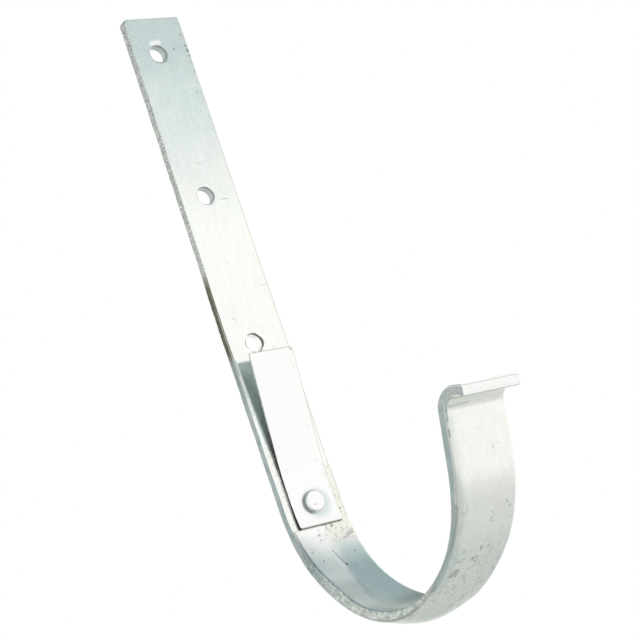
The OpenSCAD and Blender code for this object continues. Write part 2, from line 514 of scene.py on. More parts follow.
# %% Drift of the bar's edges
# how the four long edges drift outwards, away from the gutter: (place, reach, height) in mm
NEAR_INNER_DRIFT = [(128, 18, 0.6), (198, 9, -0.5), (240, 13, -1.2), (326, 20, 0.6)]
NEAR_OUTER_DRIFT = [(128, 18, 0.5), (221, 12, 0.4), (258, 26, 0.2), (306, 26, -1.5)]
FAR_INNER_DRIFT = [(150, 35, -0.4), (198, 9, -0.9), (232, 16, 1.0), (306, 24, -0.8)]
FAR_OUTER_DRIFT = [(310, 22, -1.7)]
INNER_ARCH = [(272, 24, 1.2)]
OUTER_ARCH = [(280, 21, 3.1)]
# how the four edges drift sideways, away from the middle: (place, reach, width) in mm
NEAR_INNER_WIDER = [(105, 40, 0.3), (345, 28, 0.35)]
NEAR_OUTER_WIDER = [(150, 45, 0.3), (228, 20, 0.35)]
FAR_INNER_WIDER = [(100, 200, 0.15)]
FAR_OUTER_WIDER = [(352, 12, 0.45), (287, 9, 0.5)]
EVERYWHERE_WIDER = 0.2
# inside the hook a fold runs down the middle: (along, across) in mm
FOLD = [(205, -1.2), (222, -1.0), (230, 0.6), (245, -2.2), (263, -6.0), (285, -9.0)]
FOLD_DEPTH = [(238, 17, 0.75)]
print("the near inner edge drifts in", len(NEAR_INNER_DRIFT), "bumps")

# %% [markdown]
# Two functions lay the bumps on: one tells how far a point is pushed outwards, and the other
# how far it is pushed sideways.

# %% Push points outwards and sideways
def drifted(along, across, deep):
    """How far a point is pushed outwards. Across the bar the two edges' drifts are blended in
    a straight line, and the arch adds its height times the sine of half a turn. The fold adds
    its depth times 1 minus the distance from it, measured in shares of the way to the edge.
    From the inner to the outer face the results are blended in a straight line too."""
    side = across / BAR_WIDTH + 0.5
    level = deep / BAR_THICKNESS + 0.5
    arch = np.sin(np.pi * np.clip(side, 0, 1))
    fold = np.interp(along / MM, *np.transpose(FOLD)) * MM
    from_fold = np.abs(across - fold) / np.where(across < fold, fold + BAR_WIDTH / 2,
                                                 BAR_WIDTH / 2 - fold)
    crease = np.clip(1 - np.sqrt(from_fold**2 + 0.002), 0, 1)

    def summed(*drifts):
        return sum(soft_bumps(along, bumps) * share for bumps, share in drifts)

    inner = summed((NEAR_INNER_DRIFT, 1 - side), (FAR_INNER_DRIFT, side), (INNER_ARCH, arch),
                   (FOLD_DEPTH, crease))
    outer = summed((NEAR_OUTER_DRIFT, 1 - side), (FAR_OUTER_DRIFT, side), (OUTER_ARCH, arch))
    return inner * (1 - level) + outer * level


def widened(along, across, deep):
    """How far a point is pushed sideways: nothing in the middle of the bar and all of the
    edge's own drift at the edge, blended from the inner to the outer face."""
    level = deep / BAR_THICKNESS + 0.5
    near = soft_bumps(along, NEAR_INNER_WIDER) * (1 - level)
    near += soft_bumps(along, NEAR_OUTER_WIDER) * level
    far = soft_bumps(along, FAR_INNER_WIDER) * (1 - level)
    far += soft_bumps(along, FAR_OUTER_WIDER) * level
    edge = np.clip(2 * np.abs(across) / BAR_WIDTH, 0, 1) ** 2
    return np.sign(across) * edge * (np.where(across < 0, near, far) + EVERYWHERE_WIDER * MM)


along_middle = np.linspace(0, bar_ends[-1], 400)
swell = drifted(along_middle, np.zeros(400), np.full(400, BAR_THICKNESS / 2))
print("the outside swells by up to", round(float(swell.max()) / MM, 2), "mm")

# %% [markdown]
# Then comes the wear, which is much finer. Rolled faces are never quite flat, the sheared sides
# are torn in at random, and a punch pulls the rim of its hole in. All of it is real geometry,
# because it breaks up the outlines and the mirrored room, which a bump in the finish can't do.

# %% Wear the bar
def worn(along, across, deep):
    """Wear as small shifts (across, deep): the faces wave by two hundredths of a millimetre
    over a centimetre, and the sides are torn in at random, deepest at the corners."""
    wave = 0.02 * value_noise(along / (9 * MM), across / (7 * MM), 3)
    wave += 0.006 * value_noise(along / (2.5 * MM), across / (2.5 * MM), 4)
    edge = np.clip(1 - (BAR_WIDTH / 2 - np.abs(across)) / (0.9 * MM), 0, 1)
    tear = 0.07 * value_noise(along / (0.9 * MM), deep / (0.8 * MM) + 40 * np.sign(across), 5)
    tear += 0.08 * value_noise(along / (6 * MM), 9 + np.sign(across), 6)
    nick = value_noise(along / (1.6 * MM), 60 + deep / (2.2 * MM) + 30 * np.sign(across), 7)
    tear -= 0.35 * np.clip(nick - 0.62, 0, 1)
    return np.sign(across) * edge * tear * MM, wave * MM * (1 - edge)


def dipped(along, across, holes, dip, reach):
    """Dip of the front face at a punched rim: dip times e to the minus (distance from the rim
    over the reach)."""
    total = np.zeros_like(along)
    for hole in holes:
        distance = np.hypot(along - hole["middle"], across - hole["side"]) - hole["radius"]
        total += dip * np.exp(-np.clip(distance, 0, None) / reach)
    return total


# the arm's outer edge was hammered soft on the near side: (place, depth) in mm
SOFT_EDGE = np.array([(272, 0.0), (300, 0.9), (342, 0.9), (350, 0.0)])
SOFT_WIDTH = 2.2 * MM
PUNCH_DIP, PUNCH_REACH = 0.2 * MM, 0.4 * MM
rim_dip = dipped(np.array([screw_holes[0]["middle"]]), np.array([screw_holes[0]["side"]]),
                 screw_holes, PUNCH_DIP, PUNCH_REACH)
print("each punched rim dips by", round(float(rim_dip[0]) / MM, 2), "mm")

# %% [markdown]
# Now everything comes together. A point of the grid knows how far along, across and deep it
# lies, and one function adds drift and wear and lays it along the bent line. The end
# rows stand closer together, so that the rounded corners stay round.

# %% Make the hook bar
def bar_place(points):
    """Place of (along, across, deep) in the row frame. The middle line gives x, z and the turn
    a; outwards is (-cos a, -sin a), and deep counts that way from the middle line."""
    along, across, deep = points.T
    side_shift, deep_shift = worn(along, across, deep)
    front = np.clip(0.5 - deep / BAR_THICKNESS, 0, 1)
    from_edge = np.clip(1 - (across + BAR_WIDTH / 2) / SOFT_WIDTH, 0, 1)
    soft = from_edge**2 * (1 - front) * np.interp(along / MM, *SOFT_EDGE.T)
    deep_shift = deep_shift - soft * MM
    dip = dipped(along, across, screw_holes, PUNCH_DIP, PUNCH_REACH) * front
    x, z, turn = bar_at(along)
    out = deep + drifted(along, across, deep) + deep_shift + dip
    return np.column_stack([
        x + BAR_THICKNESS / 2 - np.cos(turn) * out,
        BAR_MIDDLE + across + side_shift + widened(along, across, deep),
        z + STEM_TOP - np.sin(turn) * out,
    ])


bar_rows = spaced(
    0.0, bar_ends[-1], GRID_STEP,
    [(hole["middle"], hole["block"], 24) for hole in screw_holes]
    + [(rivet_hole["middle"], rivet_hole["block"], 18)],
)
end_rows = CORNER_ROUND * (1 - np.cos(np.linspace(0, np.pi / 2, 7)))
clear = CORNER_ROUND * 1.2
inner_rows = bar_rows[(bar_rows > clear) & (bar_rows < bar_ends[-1] - clear)]
bar_rows = np.concatenate([end_rows, inner_rows, bar_ends[-1] - end_rows[::-1]])
points, faces, skin = flat_bar_grid(
    bar_rows, bar_columns, BAR_WIDTH, BAR_THICKNESS, EDGE_ROUND, (3, 7),
    screw_holes + [rivet_hole],
    (np.array([1.0, 0.35, 0.2, 0.7]) * CORNER_ROUND, 0.25 * MM),
)
hook_bar = finish_piece("hook_bar_skin", bar_place(points), faces, skin, "hook_bar")

# %% [markdown]
# ## The retaining strap
# The strap is a strip of thin sheet, and its edges are crisp because they are sheared and never
# filed. It lies on the hook's start and on the foot of the stem, held by the rivet, and its free
# part leans away from the stem, ready to be folded over the gutter. It is the same kind of
# grid on a line of its own, described from its free end down. Its middle line is half a
# sheet's thickness in from the face that touches the bar.

# %% Sizes of the strap
strap_low, strap_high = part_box("retaining_strap")
STRAP_WIDTH = strap_high.y - strap_low.y
STRAP_THICKNESS = 1.0 * MM
STRAP_ROUND = 0.12 * MM
STRAP_LENGTH = 68.3 * MM
STRAP_FOOT = 9.3 * MM
STRAP_SEAT = 4.7 * MM
STRAP_BEND_RADIUS = 124.0 * MM
STRAP_LEAN = np.radians(6.9)
strap_rise = BEND_HEIGHT - RIVET_HEIGHT
strap_curve = STRAP_BEND_RADIUS * STRAP_LEAN
strap_free = STRAP_LENGTH - STRAP_FOOT - strap_rise - STRAP_SEAT - strap_curve
foot_angle = (STRAP_FOOT + strap_rise) / BACK_RADIUS
foot_radius = BACK_RADIUS - STRAP_THICKNESS / 2
strap_at, strap_ends = bent_line(
    [strap_free, (STRAP_BEND_RADIUS + STRAP_THICKNESS / 2) * STRAP_LEAN, STRAP_SEAT,
     foot_radius * foot_angle],
    [0, STRAP_LEAN, 0, foot_angle],
    first_turn=-STRAP_LEAN,
)
seat_x, seat_z, _ = strap_at(strap_ends[2])
print("the strap's free end stands", round(float(-seat_x) / MM, 2), "mm off its seat's line")

# %% [markdown]
# Thin sheet is straighter across than along: the strap waves a little where nothing holds it,
# its free end is slightly hollow, and its sheared edges are ragged by a few hundredths. Only
# its seat stays as the solid model has it. The drift of the bar's face isn't passed on to the
# seat, so the bar stands up to 0.9 mm into the sheet there. The sheet is 1 mm thick and hides
# that from the front, but seen from the side it looks thinner than it is.

# %% Make the strap
def strap_place(points):
    """Place of (along, across, deep): deep counts outwards from the strap's middle line, which
    is moved so that its seat lies on a true bar. The free end is slightly hollow across, by the
    square of the distance from the middle."""
    along, across, deep = points.T
    x, z, turn = strap_at(along)
    free = np.clip(1 - along / (30 * MM), 0, 1) ** 2
    wave = 0.05 * MM * value_noise(along / (11 * MM), across / (9 * MM), 21)
    wave *= np.clip((strap_ends[2] - along) / (10 * MM), 0, 1)
    out = deep + wave + 0.1 * MM * free * (2 * across / STRAP_WIDTH) ** 2
    edge = np.clip(1 - (STRAP_WIDTH / 2 - np.abs(across)) / (0.4 * MM), 0, 1)
    ragged = 0.05 * MM * value_noise(along / (1.5 * MM), np.sign(across) * 20, 22) * edge
    return np.column_stack([
        x - seat_x + BAR_THICKNESS + STRAP_THICKNESS / 2 - np.cos(turn) * out,
        BAR_MIDDLE + across + ragged * np.sign(across),
        z - seat_z + BEND_HEIGHT + STRAP_SEAT - np.sin(turn) * out,
    ])


strap_rivet = strap_ends[3] + foot_radius * strap_rise / BACK_RADIUS
strap_hole = dict(
    middle=strap_rivet, side=0.0, block=RIVET_BLOCK, opening=4 * CELL,
    radius=SHANK_RADIUS, rear=SHANK_RADIUS, wall=[(0.5, 0.5)],
)
points, faces, skin = flat_bar_grid(
    spaced(0.0, strap_ends[-1], 0.7 * MM, [(strap_rivet, RIVET_BLOCK, 18)]),
    spaced(-STRAP_WIDTH / 2 + STRAP_ROUND, STRAP_WIDTH / 2 - STRAP_ROUND, GRID_STEP,
           [(0.0, RIVET_BLOCK, 18)]),
    STRAP_WIDTH, STRAP_THICKNESS, STRAP_ROUND, (2, 3), [strap_hole],
    (np.array([0.3, 0.8, 0.5, 0.5]) * MM, 0.08 * MM),
)
strap = finish_piece("retaining_strap_skin", strap_place(points), faces, skin,
                     "retaining_strap")

# %% [markdown]
# ## The rivet
# A flat-headed rivet is set from the strap's side, and its tail is spread flush into a
# countersink at the back. Its head was struck a little out of true, so the outline isn't quite
# round and the rim is bruised. A profile of (distance from the axis, height) turned round the
# axis gives all of it, and the two poles close it. The head's underside follows the strap,
# which has begun to curve there. Each line of the profile also says whether it belongs to the
# head, which is the part that the hammer has moved.

# %% Shape of the rivet
HEAD_RADIUS = 4.3 * MM
head_top = rivet_high.x
strap_face = BAR_THICKNESS + STRAP_THICKNESS
profile = np.array([
    (0.6, 7.0, 1), (1.5, 7.0, 1), (2.5, 7.0, 1), (3.3, 6.99, 1), (3.7, 6.96, 1), (3.95, 6.88, 1),
    (4.15, 6.72, 1), (4.26, 6.5, 1), (4.3, 6.2, 1), (4.3, 5.8, 1), (4.3, 5.4, 1),
    (4.28, 4.97, 1), (3.4, 4.96, 1), (2.5, 4.96, 0), (2.5, 4.0, 0), (2.5, 1.6, 0),
    (3.25, 0.8, 0), (3.99, 0.01, 0), (3.0, 0.0, 0), (1.5, 0.0, 0), (0.6, 0.0, 0),
])


def rivet_place(angle, radius, height, head):
    """Ring of the rivet's profile at each angle. The head's outline swells by a twelfth of a
    millimetre twice and three times round. Height moves by what the strap has risen under that
    place, R minus the root of R^2 - (distance below the bend)^2, shared out over the head."""
    swell = 0.08 * np.sin(2 * angle + 0.6) + 0.05 * np.sin(3 * angle + 2.0)
    swell += 0.06 * value_noise(angle * 4.0, height / MM, 31)
    wide = radius + head * swell * MM * np.clip(radius / HEAD_RADIUS - 0.6, 0, 1) * 2.5
    z = RIVET_HEIGHT + wide * np.cos(angle)
    below = np.clip(BEND_HEIGHT - z, 0, None)
    sheet_radius = BACK_RADIUS - STRAP_THICKNESS
    rise = sheet_radius - np.sqrt(sheet_radius**2 - below**2)
    share = np.clip(1 - (height - strap_face) / (head_top - strap_face) * 0.5, 0, 1) * head
    bruise = 0.03 * MM * head * value_noise(z / (1.6 * MM), wide * np.sin(angle) / (1.6 * MM), 32)
    lowered = rise.max() * 0.5 * (height > strap_face * 1.2) * head
    return np.stack([height + rise * share - lowered + bruise * (height > strap_face),
                     BAR_MIDDLE + wide * np.sin(angle), z], -1)


print("the rivet's profile has", len(profile), "points")

# %% [markdown]
# The rings are joined like the rows of the bar, and a fan of triangles closes each pole. The
# skirt of the head is marked on the skin, because the rim gets a colour of its own.

# %% Make the rivet
turns = np.linspace(0, 2 * np.pi, 72, endpoint=False)
angle, ring = np.meshgrid(turns, np.arange(len(profile)))
radius, height, head = [column[ring] for column in (profile * [MM, MM, 1]).T]
rings = rivet_place(angle, radius, height, head)
count = len(turns)
index = np.arange(rings[..., 0].size).reshape(len(profile), count)
turned = np.roll(index, -1, 1)
quads = np.stack([index[:-1], turned[:-1], turned[1:], index[1:]], -1)
places = np.concatenate([rings.reshape(-1, 3), rings[[0, -1]].mean(axis=1)])
top_fan = np.stack([np.full(count, index.size), turned[0], index[0]], -1)
tail_fan = np.stack([np.full(count, index.size + 1), index[-1], turned[-1]], -1)
faces = quads.reshape(-1, 4).tolist() + top_fan.tolist() + tail_fan.tolist()
corner = np.concatenate([np.asarray(face) for face in faces])
skirt = (height > 4.9 * MM) & (height < 6.6 * MM) & (radius > 4.1 * MM)
skirt = np.append(skirt.ravel(), [False, False]).astype(float)
skin = np.column_stack([places[corner][:, 1], places[corner][:, 2], skirt[corner]])
rivet = finish_piece("rivet_skin", places, faces, skin, "rivet")

# %% [markdown]
# ## Node helpers
# Every finish is made of nodes, and dozens of wires would hide what they do. Small helpers keep
# the listing short: one puts a node into a tree and wires its sockets, and the others do
# arithmetic with it. They are tried in a tree that is thrown away again.

# %% Put and wire nodes
def put(tree, kind, sockets=None, **settings):
    """A node of that kind. sockets gives its inputs: a value, or an output to link."""
    node = tree.nodes.new(kind)
    for key, value in settings.items():
        setattr(node, key, value)
    for key, value in (sockets or {}).items():
        if isinstance(value, bpy.types.NodeSocket):
            tree.links.new(value, node.inputs[key])
        else:
            node.inputs[key].default_value = value
    return node


def maths(tree, operation, *values):
    """Result of one arithmetic step on numbers."""
    return put(tree, "ShaderNodeMath", dict(enumerate(values)), operation=operation).outputs[0]


def vectors(tree, operation, first, second):
    """Node for one step on vectors."""
    return put(tree, "ShaderNodeVectorMath", {0: first, 1: second}, operation=operation)


def scaled(tree, vector, value):
    """Vector or colour times a value."""
    node = put(tree, "ShaderNodeVectorMath", {0: vector, "Scale": value}, operation="SCALE")
    return node.outputs[0]


def times(tree, first, *others):
    """Product of masks and amounts."""
    for other in others:
        first = maths(tree, "MULTIPLY", first, other)
    return first


def added(tree, base, *parts):
    """Base plus each part, which is (mask, amount): the two are multiplied."""
    for mask, amount in parts:
        base = maths(tree, "MULTIPLY_ADD", mask, amount, base)
    return base


trial = bpy.data.node_groups.new("trial", "ShaderNodeTree")
times(trial, 2.0, 3.0, 4.0)
print("a product of three values takes", len(trial.nodes), "nodes")
bpy.data.node_groups.remove(trial)

# %% [markdown]
# ## Masks and colours
# A mask is a number from 0 to 1 that says how much of something there is. It is mostly made by
# taking a window out of a wider range of values, and it is mostly used to blend two colours.

# %% Make masks and blend colours
def window(tree, value, low, high, to_low=0.0, to_high=1.0, kind="SMOOTHSTEP"):
    """Value brought from low..high to to_low..to_high, and held outside it."""
    names = ["Value", "From Min", "From Max", "To Min", "To Max"]
    sockets = dict(zip(names, [value, low, high, to_low, to_high]))
    return put(tree, "ShaderNodeMapRange", sockets, interpolation_type=kind).outputs["Result"]


def blend(tree, share, first, second):
    """Mixed colour: first where share is 0, second where it is 1. Each is an output or (red,
    green, blue)."""
    first, second = (colour if isinstance(colour, bpy.types.NodeSocket) else (*colour, 1.0)
                     for colour in (first, second))
    return put(tree, "ShaderNodeMix", {0: share, 6: first, 7: second}, data_type="RGBA").outputs[2]


def noise_mask(tree, vector, size, detail, roughness, low, high):
    """Noise with features of about that size in metres, brought from low..high to 0..1."""
    noise = put(tree, "ShaderNodeTexNoise", {
        "Vector": vector, "Scale": maths(tree, "DIVIDE", 1.0, size), "Detail": detail,
        "Roughness": roughness,
    })
    return window(tree, noise.outputs["Fac"], low, high)


trial = bpy.data.node_groups.new("trial", "ShaderNodeTree")
noise_mask(trial, (0, 0, 0), 0.001, 2.0, 0.5, 0.3, 0.7)
print("a noise mask takes", len(trial.nodes), "nodes")
bpy.data.node_groups.remove(trial)

# %% [markdown]
# ## Node groups
# What several finishes share is made once, as a node group. A group here puts out only masks,
# and each finish decides on its own colours.

# %% Open and close a node group
FLOAT, VECTOR = "NodeSocketFloat", "NodeSocketVector"


def start_group(name, inputs, outputs):
    """Empty node group with named sockets. inputs gives name: value, a number or a vector."""
    group = bpy.data.node_groups.new(name, "ShaderNodeTree")
    for label, value in inputs.items():
        kind = VECTOR if isinstance(value, tuple) else FLOAT
        group.interface.new_socket(label, in_out="INPUT", socket_type=kind).default_value = value
    for label in outputs:
        group.interface.new_socket(label, in_out="OUTPUT", socket_type=FLOAT)
    return group, put(group, "NodeGroupInput").outputs, put(group, "NodeGroupOutput")


def close_group(group, result, values):
    """Wires the outputs of a group by name."""
    for label, value in values.items():
        group.links.new(value, result.inputs[label])
    print("the group", group.name, "has", len(group.nodes), "nodes")


# %% [markdown]
# ## Zinc, as a node group
# Molten zinc freezes in soft patches that are a little brighter or duller than their
# neighbours, and its surface has a fine grain like frost. Here and there the flux left a
# pale-brown speck. An image of zinc would have to be wrapped round every bend, so all of it
# comes from noise read in the piece's own coordinates: broad noise for the patches, fine noise
# for the grain, and the rare peaks of a third noise for specks.

# %% Zinc group
zinc, given, result = start_group(
    "zinc skin",
    {"Vector": (0, 0, 0), "Patch Size": 0.006, "Grain Size": 0.0007, "Speck Size": 0.0016,
     "Speck Level": 0.72},
    ["Patches", "Grain", "Specks"],
)
patches = noise_mask(zinc, given["Vector"], given["Patch Size"], 3.0, 0.55, 0.3, 0.7)
grain = noise_mask(zinc, given["Vector"], given["Grain Size"], 2.0, 0.6, 0.25, 0.75)
level = given["Speck Level"]
specks = noise_mask(zinc, given["Vector"], given["Speck Size"], 1.0, 0.4, level,
                    maths(zinc, "ADD", level, 0.05))
close_group(zinc, result, {"Patches": patches, "Grain": grain, "Specks": specks})

# %% [markdown]
# ## Torn steel, as a node group
# A sheared side is half cut and half torn. Its marks run across the thickness, so that noise
# is stretched: fine along the bar and long across it. Zinc gathers on it in crumbs, and in the
# hollows it stays dull.

# %% Torn group
torn_steel, given, result = start_group(
    "torn steel", {"Skin": (0, 0, 0), "Vector": (0, 0, 0)}, ["Ridges", "Crumbs", "Stains"]
)
stretched = put(torn_steel, "ShaderNodeMapping", {
    "Vector": given["Skin"], "Scale": (1.0, 0.3, 1.0),
}).outputs[0]
ridges = noise_mask(torn_steel, stretched, 0.0006, 2.0, 0.6, 0.3, 0.7)
crumbs = noise_mask(torn_steel, given["Vector"], 0.0007, 2.0, 0.7, 0.35, 0.65)
stains = noise_mask(torn_steel, given["Vector"], 0.005, 3.0, 0.6, 0.35, 0.65)
close_group(torn_steel, result, {"Ridges": ridges, "Crumbs": crumbs, "Stains": stains})

# %% [markdown]
# ## Scratches and dents, as a node group
# Each scratch is a line from one place on the skin to another. With p the point, a and b the
# ends, the nearest place on the line is a + t (b - a), where t is (p - a).(b - a) over the
# square of the line's length, held between 0 and 1. The mask fades with the distance to it. A
# dent is a very short scratch.
#
# A bar has dozens of marks, so the group also takes the mask so far and gives the larger one.
# The point is shifted by a millionth of a millimetre times the mask so far: that changes
# nothing to see, but it makes the renderer work out one mark after the other, and so it never
# has to remember them all at once.

# %% Scratch group
scratch, given, result = start_group(
    "scratch",
    {"Skin": (0, 0, 0), "From": (0, 0, 0), "To": (0.001, 0, 0), "Width": 0.0002,
     "Blur": 0.0002, "Strength": 1.0, "So Far": 0.0},
    ["Mask"],
)
tiny = times(scratch, given["So Far"], 1e-9)
point = vectors(scratch, "ADD", given["Skin"], tiny).outputs[0]
from_start = vectors(scratch, "SUBTRACT", point, given["From"]).outputs[0]
whole = vectors(scratch, "SUBTRACT", given["To"], given["From"]).outputs[0]
along_it = vectors(scratch, "DOT_PRODUCT", from_start, whole).outputs["Value"]
length2 = vectors(scratch, "DOT_PRODUCT", whole, whole).outputs["Value"]
share = window(scratch, maths(scratch, "DIVIDE", along_it, length2), 0.0, 1.0, kind="LINEAR")
nearest = scaled(scratch, whole, share)
distance = vectors(scratch, "DISTANCE", from_start, nearest).outputs["Value"]
edge = maths(scratch, "ADD", given["Width"], given["Blur"])
mask = times(scratch, window(scratch, distance, given["Width"], edge, 1.0, 0.0),
             given["Strength"])
close_group(scratch, result, {"Mask": maths(scratch, "MAXIMUM", mask, given["So Far"])})

# %% [markdown]
# ## Regions, as a node group
# Some finishes belong to one stretch of the bar, such as the browned side or the crust beside
# the strap. A region is a box on the skin with soft borders: 1 inside, 0 outside.

# %% Region group
region, given, result = start_group(
    "region of the skin",
    {"Skin": (0, 0, 0), "Low": (0, 0, 0), "High": (1, 1, 0), "Blur": 0.001}, ["Mask"]
)


def region_side(point, low, high, blur):
    """1 where point lies between low and high, falling to 0 over the blur outside them."""
    rising = window(region, point, maths(region, "SUBTRACT", low, blur), low)
    falling = window(region, point, high, maths(region, "ADD", high, blur), 1.0, 0.0)
    return times(region, rising, falling)


skin_at, low_at, high_at = (put(region, "ShaderNodeSeparateXYZ", {0: given[label]}).outputs
                            for label in ("Skin", "Low", "High"))
inside = times(region, *[region_side(skin_at[i], low_at[i], high_at[i], given["Blur"])
                         for i in (0, 1)])
close_group(region, result, {"Mask": inside})

# %% [markdown]
# ## A finish and its masks
# A finish is built up like the real surface: bare zinc first, then one thin coat of wear over
# another, each with a mask that says where it lies. So a finish needs its node tree, what the
# nodes read from the piece, and short ways to ask for a mask.

# %% Start a finish
class Finish:
    """Material in the making. place is the piece's own coordinates, skin its map in metres,
    and torn its mask of sheared steel."""

    def __init__(self, name):
        self.material = bpy.data.materials.new(name)
        self.material.use_nodes = True
        self.tree = self.material.node_tree
        self.shader = self.tree.nodes["Principled BSDF"]
        self.place = put(self.tree, "ShaderNodeTexCoord").outputs["Object"]
        self.skin = put(self.tree, "ShaderNodeUVMap", uv_map="skin").outputs["UV"]
        self.torn = put(self.tree, "ShaderNodeAttribute", attribute_name="torn").outputs["Fac"]

    def group(self, group, **sockets):
        """Outputs of a node group. Its inputs are given with _ for the spaces in their names."""
        values = {label.replace("_", " "): value for label, value in sockets.items()}
        return put(self.tree, "ShaderNodeGroup", values, node_tree=group).outputs

    def zinc(self, **sizes):
        """Patches, grain and specks of zinc."""
        return self.group(zinc, Vector=self.place, **sizes)

    def noise(self, *shape):
        """Mask of noise in the piece's own coordinates."""
        return noise_mask(self.tree, self.place, *shape)

    def patch(self, low, high, blur):
        """Mask of a box on the skin between two places, with a blur in millimetres."""
        return self.group(region, Skin=self.skin, Low=low, High=high, Blur=blur * MM)["Mask"]

    def stretch(self, low, high, blur):
        """Mask of the skin between two distances along the piece, in millimetres."""
        return self.patch((low * MM, -1.0, 0.0), (high * MM, 1.0, 0.0), blur)

    def marks(self, lines):
        """Largest mask of several scratches, each (start, end, half width, blur, strength) with
        the two sizes in millimetres. A dent is given with its start as its end."""
        total = 0.0
        for start, end, wide, blur, strength in lines:
            if start == end:
                end = (end[0] + 0.00002, end[1], 0.0)
            total = self.group(scratch, Skin=self.skin, From=start, To=end, Width=wide * MM,
                               Blur=blur * MM, Strength=strength, So_Far=total)["Mask"]
        return total

    def tint(self, colour, mask, amount, paint):
        """Colour under a coat of paint that covers it by the mask times the amount."""
        share = mask if amount == 1 else times(self.tree, mask, amount)
        return blend(self.tree, share, colour, paint)

    def finish(self, piece, bump, **sockets):
        """Wires or sets the shader's sockets, adds a bump (height, strength, distance), and
        gives the material to the piece."""
        for label, value in sockets.items():
            socket = self.shader.inputs[label.replace("_", " ")]
            if isinstance(value, bpy.types.NodeSocket):
                self.tree.links.new(value, socket)
            else:
                socket.default_value = value
        names = ("Height", "Strength", "Distance")
        normal = put(self.tree, "ShaderNodeBump", dict(zip(names, bump))).outputs["Normal"]
        self.tree.links.new(normal, self.shader.inputs["Normal"])
        piece.data.materials.append(self.material)
        print(self.material.name, "is made of", len(self.tree.nodes), "nodes")


# %% [markdown]
# ## Places on the bar
# The skin is measured in metres along the bar and round its section, from the near edge of the
# front face. Marks are easier to give in millimetres from the middle of a face, so each face
# gets its own function. On the end faces and in the holes the second number is how far across
# or how deep a place is.

# %% Find places on the bar's skin
HALF_FACE = BAR_WIDTH / 2 - EDGE_ROUND
# round the section the rear face starts after the front, two corners and a side
REAR_START = 2 * HALF_FACE + np.pi * EDGE_ROUND + BAR_THICKNESS - 2 * EDGE_ROUND
ROUND_IT = 2 * REAR_START


def at(along, second):
    """Place on the skin, from millimetres."""
    return (along * MM, second * MM, 0.0)


def on_front(along, across):
    """Place on the bar's front face, from millimetres along and across."""
    return (along * MM, across * MM + HALF_FACE, 0.0)


def on_rear(along, across):
    """Place on the bar's rear face, which runs the other way."""
    return (along * MM, REAR_START + HALF_FACE - across * MM, 0.0)


def near_edge(along, before):
    """Place on the near front rounding, so far before the skin closes."""
    return (along * MM, ROUND_IT - before * MM, 0.0)


def dents(side, places):
    """Round marks at (along, across, radius, strength) in millimetres."""
    return [(side(a, b), side(a, b), r * 0.6, r * 0.8, strength) for a, b, r, strength in places]


def lines(side, places):
    """Scratches at (along, across, along, across, half width, strength) in millimetres."""
    return [(side(a, b), side(c, d), r * 0.8, r * 1.8, strength)
            for a, b, c, d, r, strength in places]


print("round its section the bar measures", round(ROUND_IT / MM, 2), "mm")
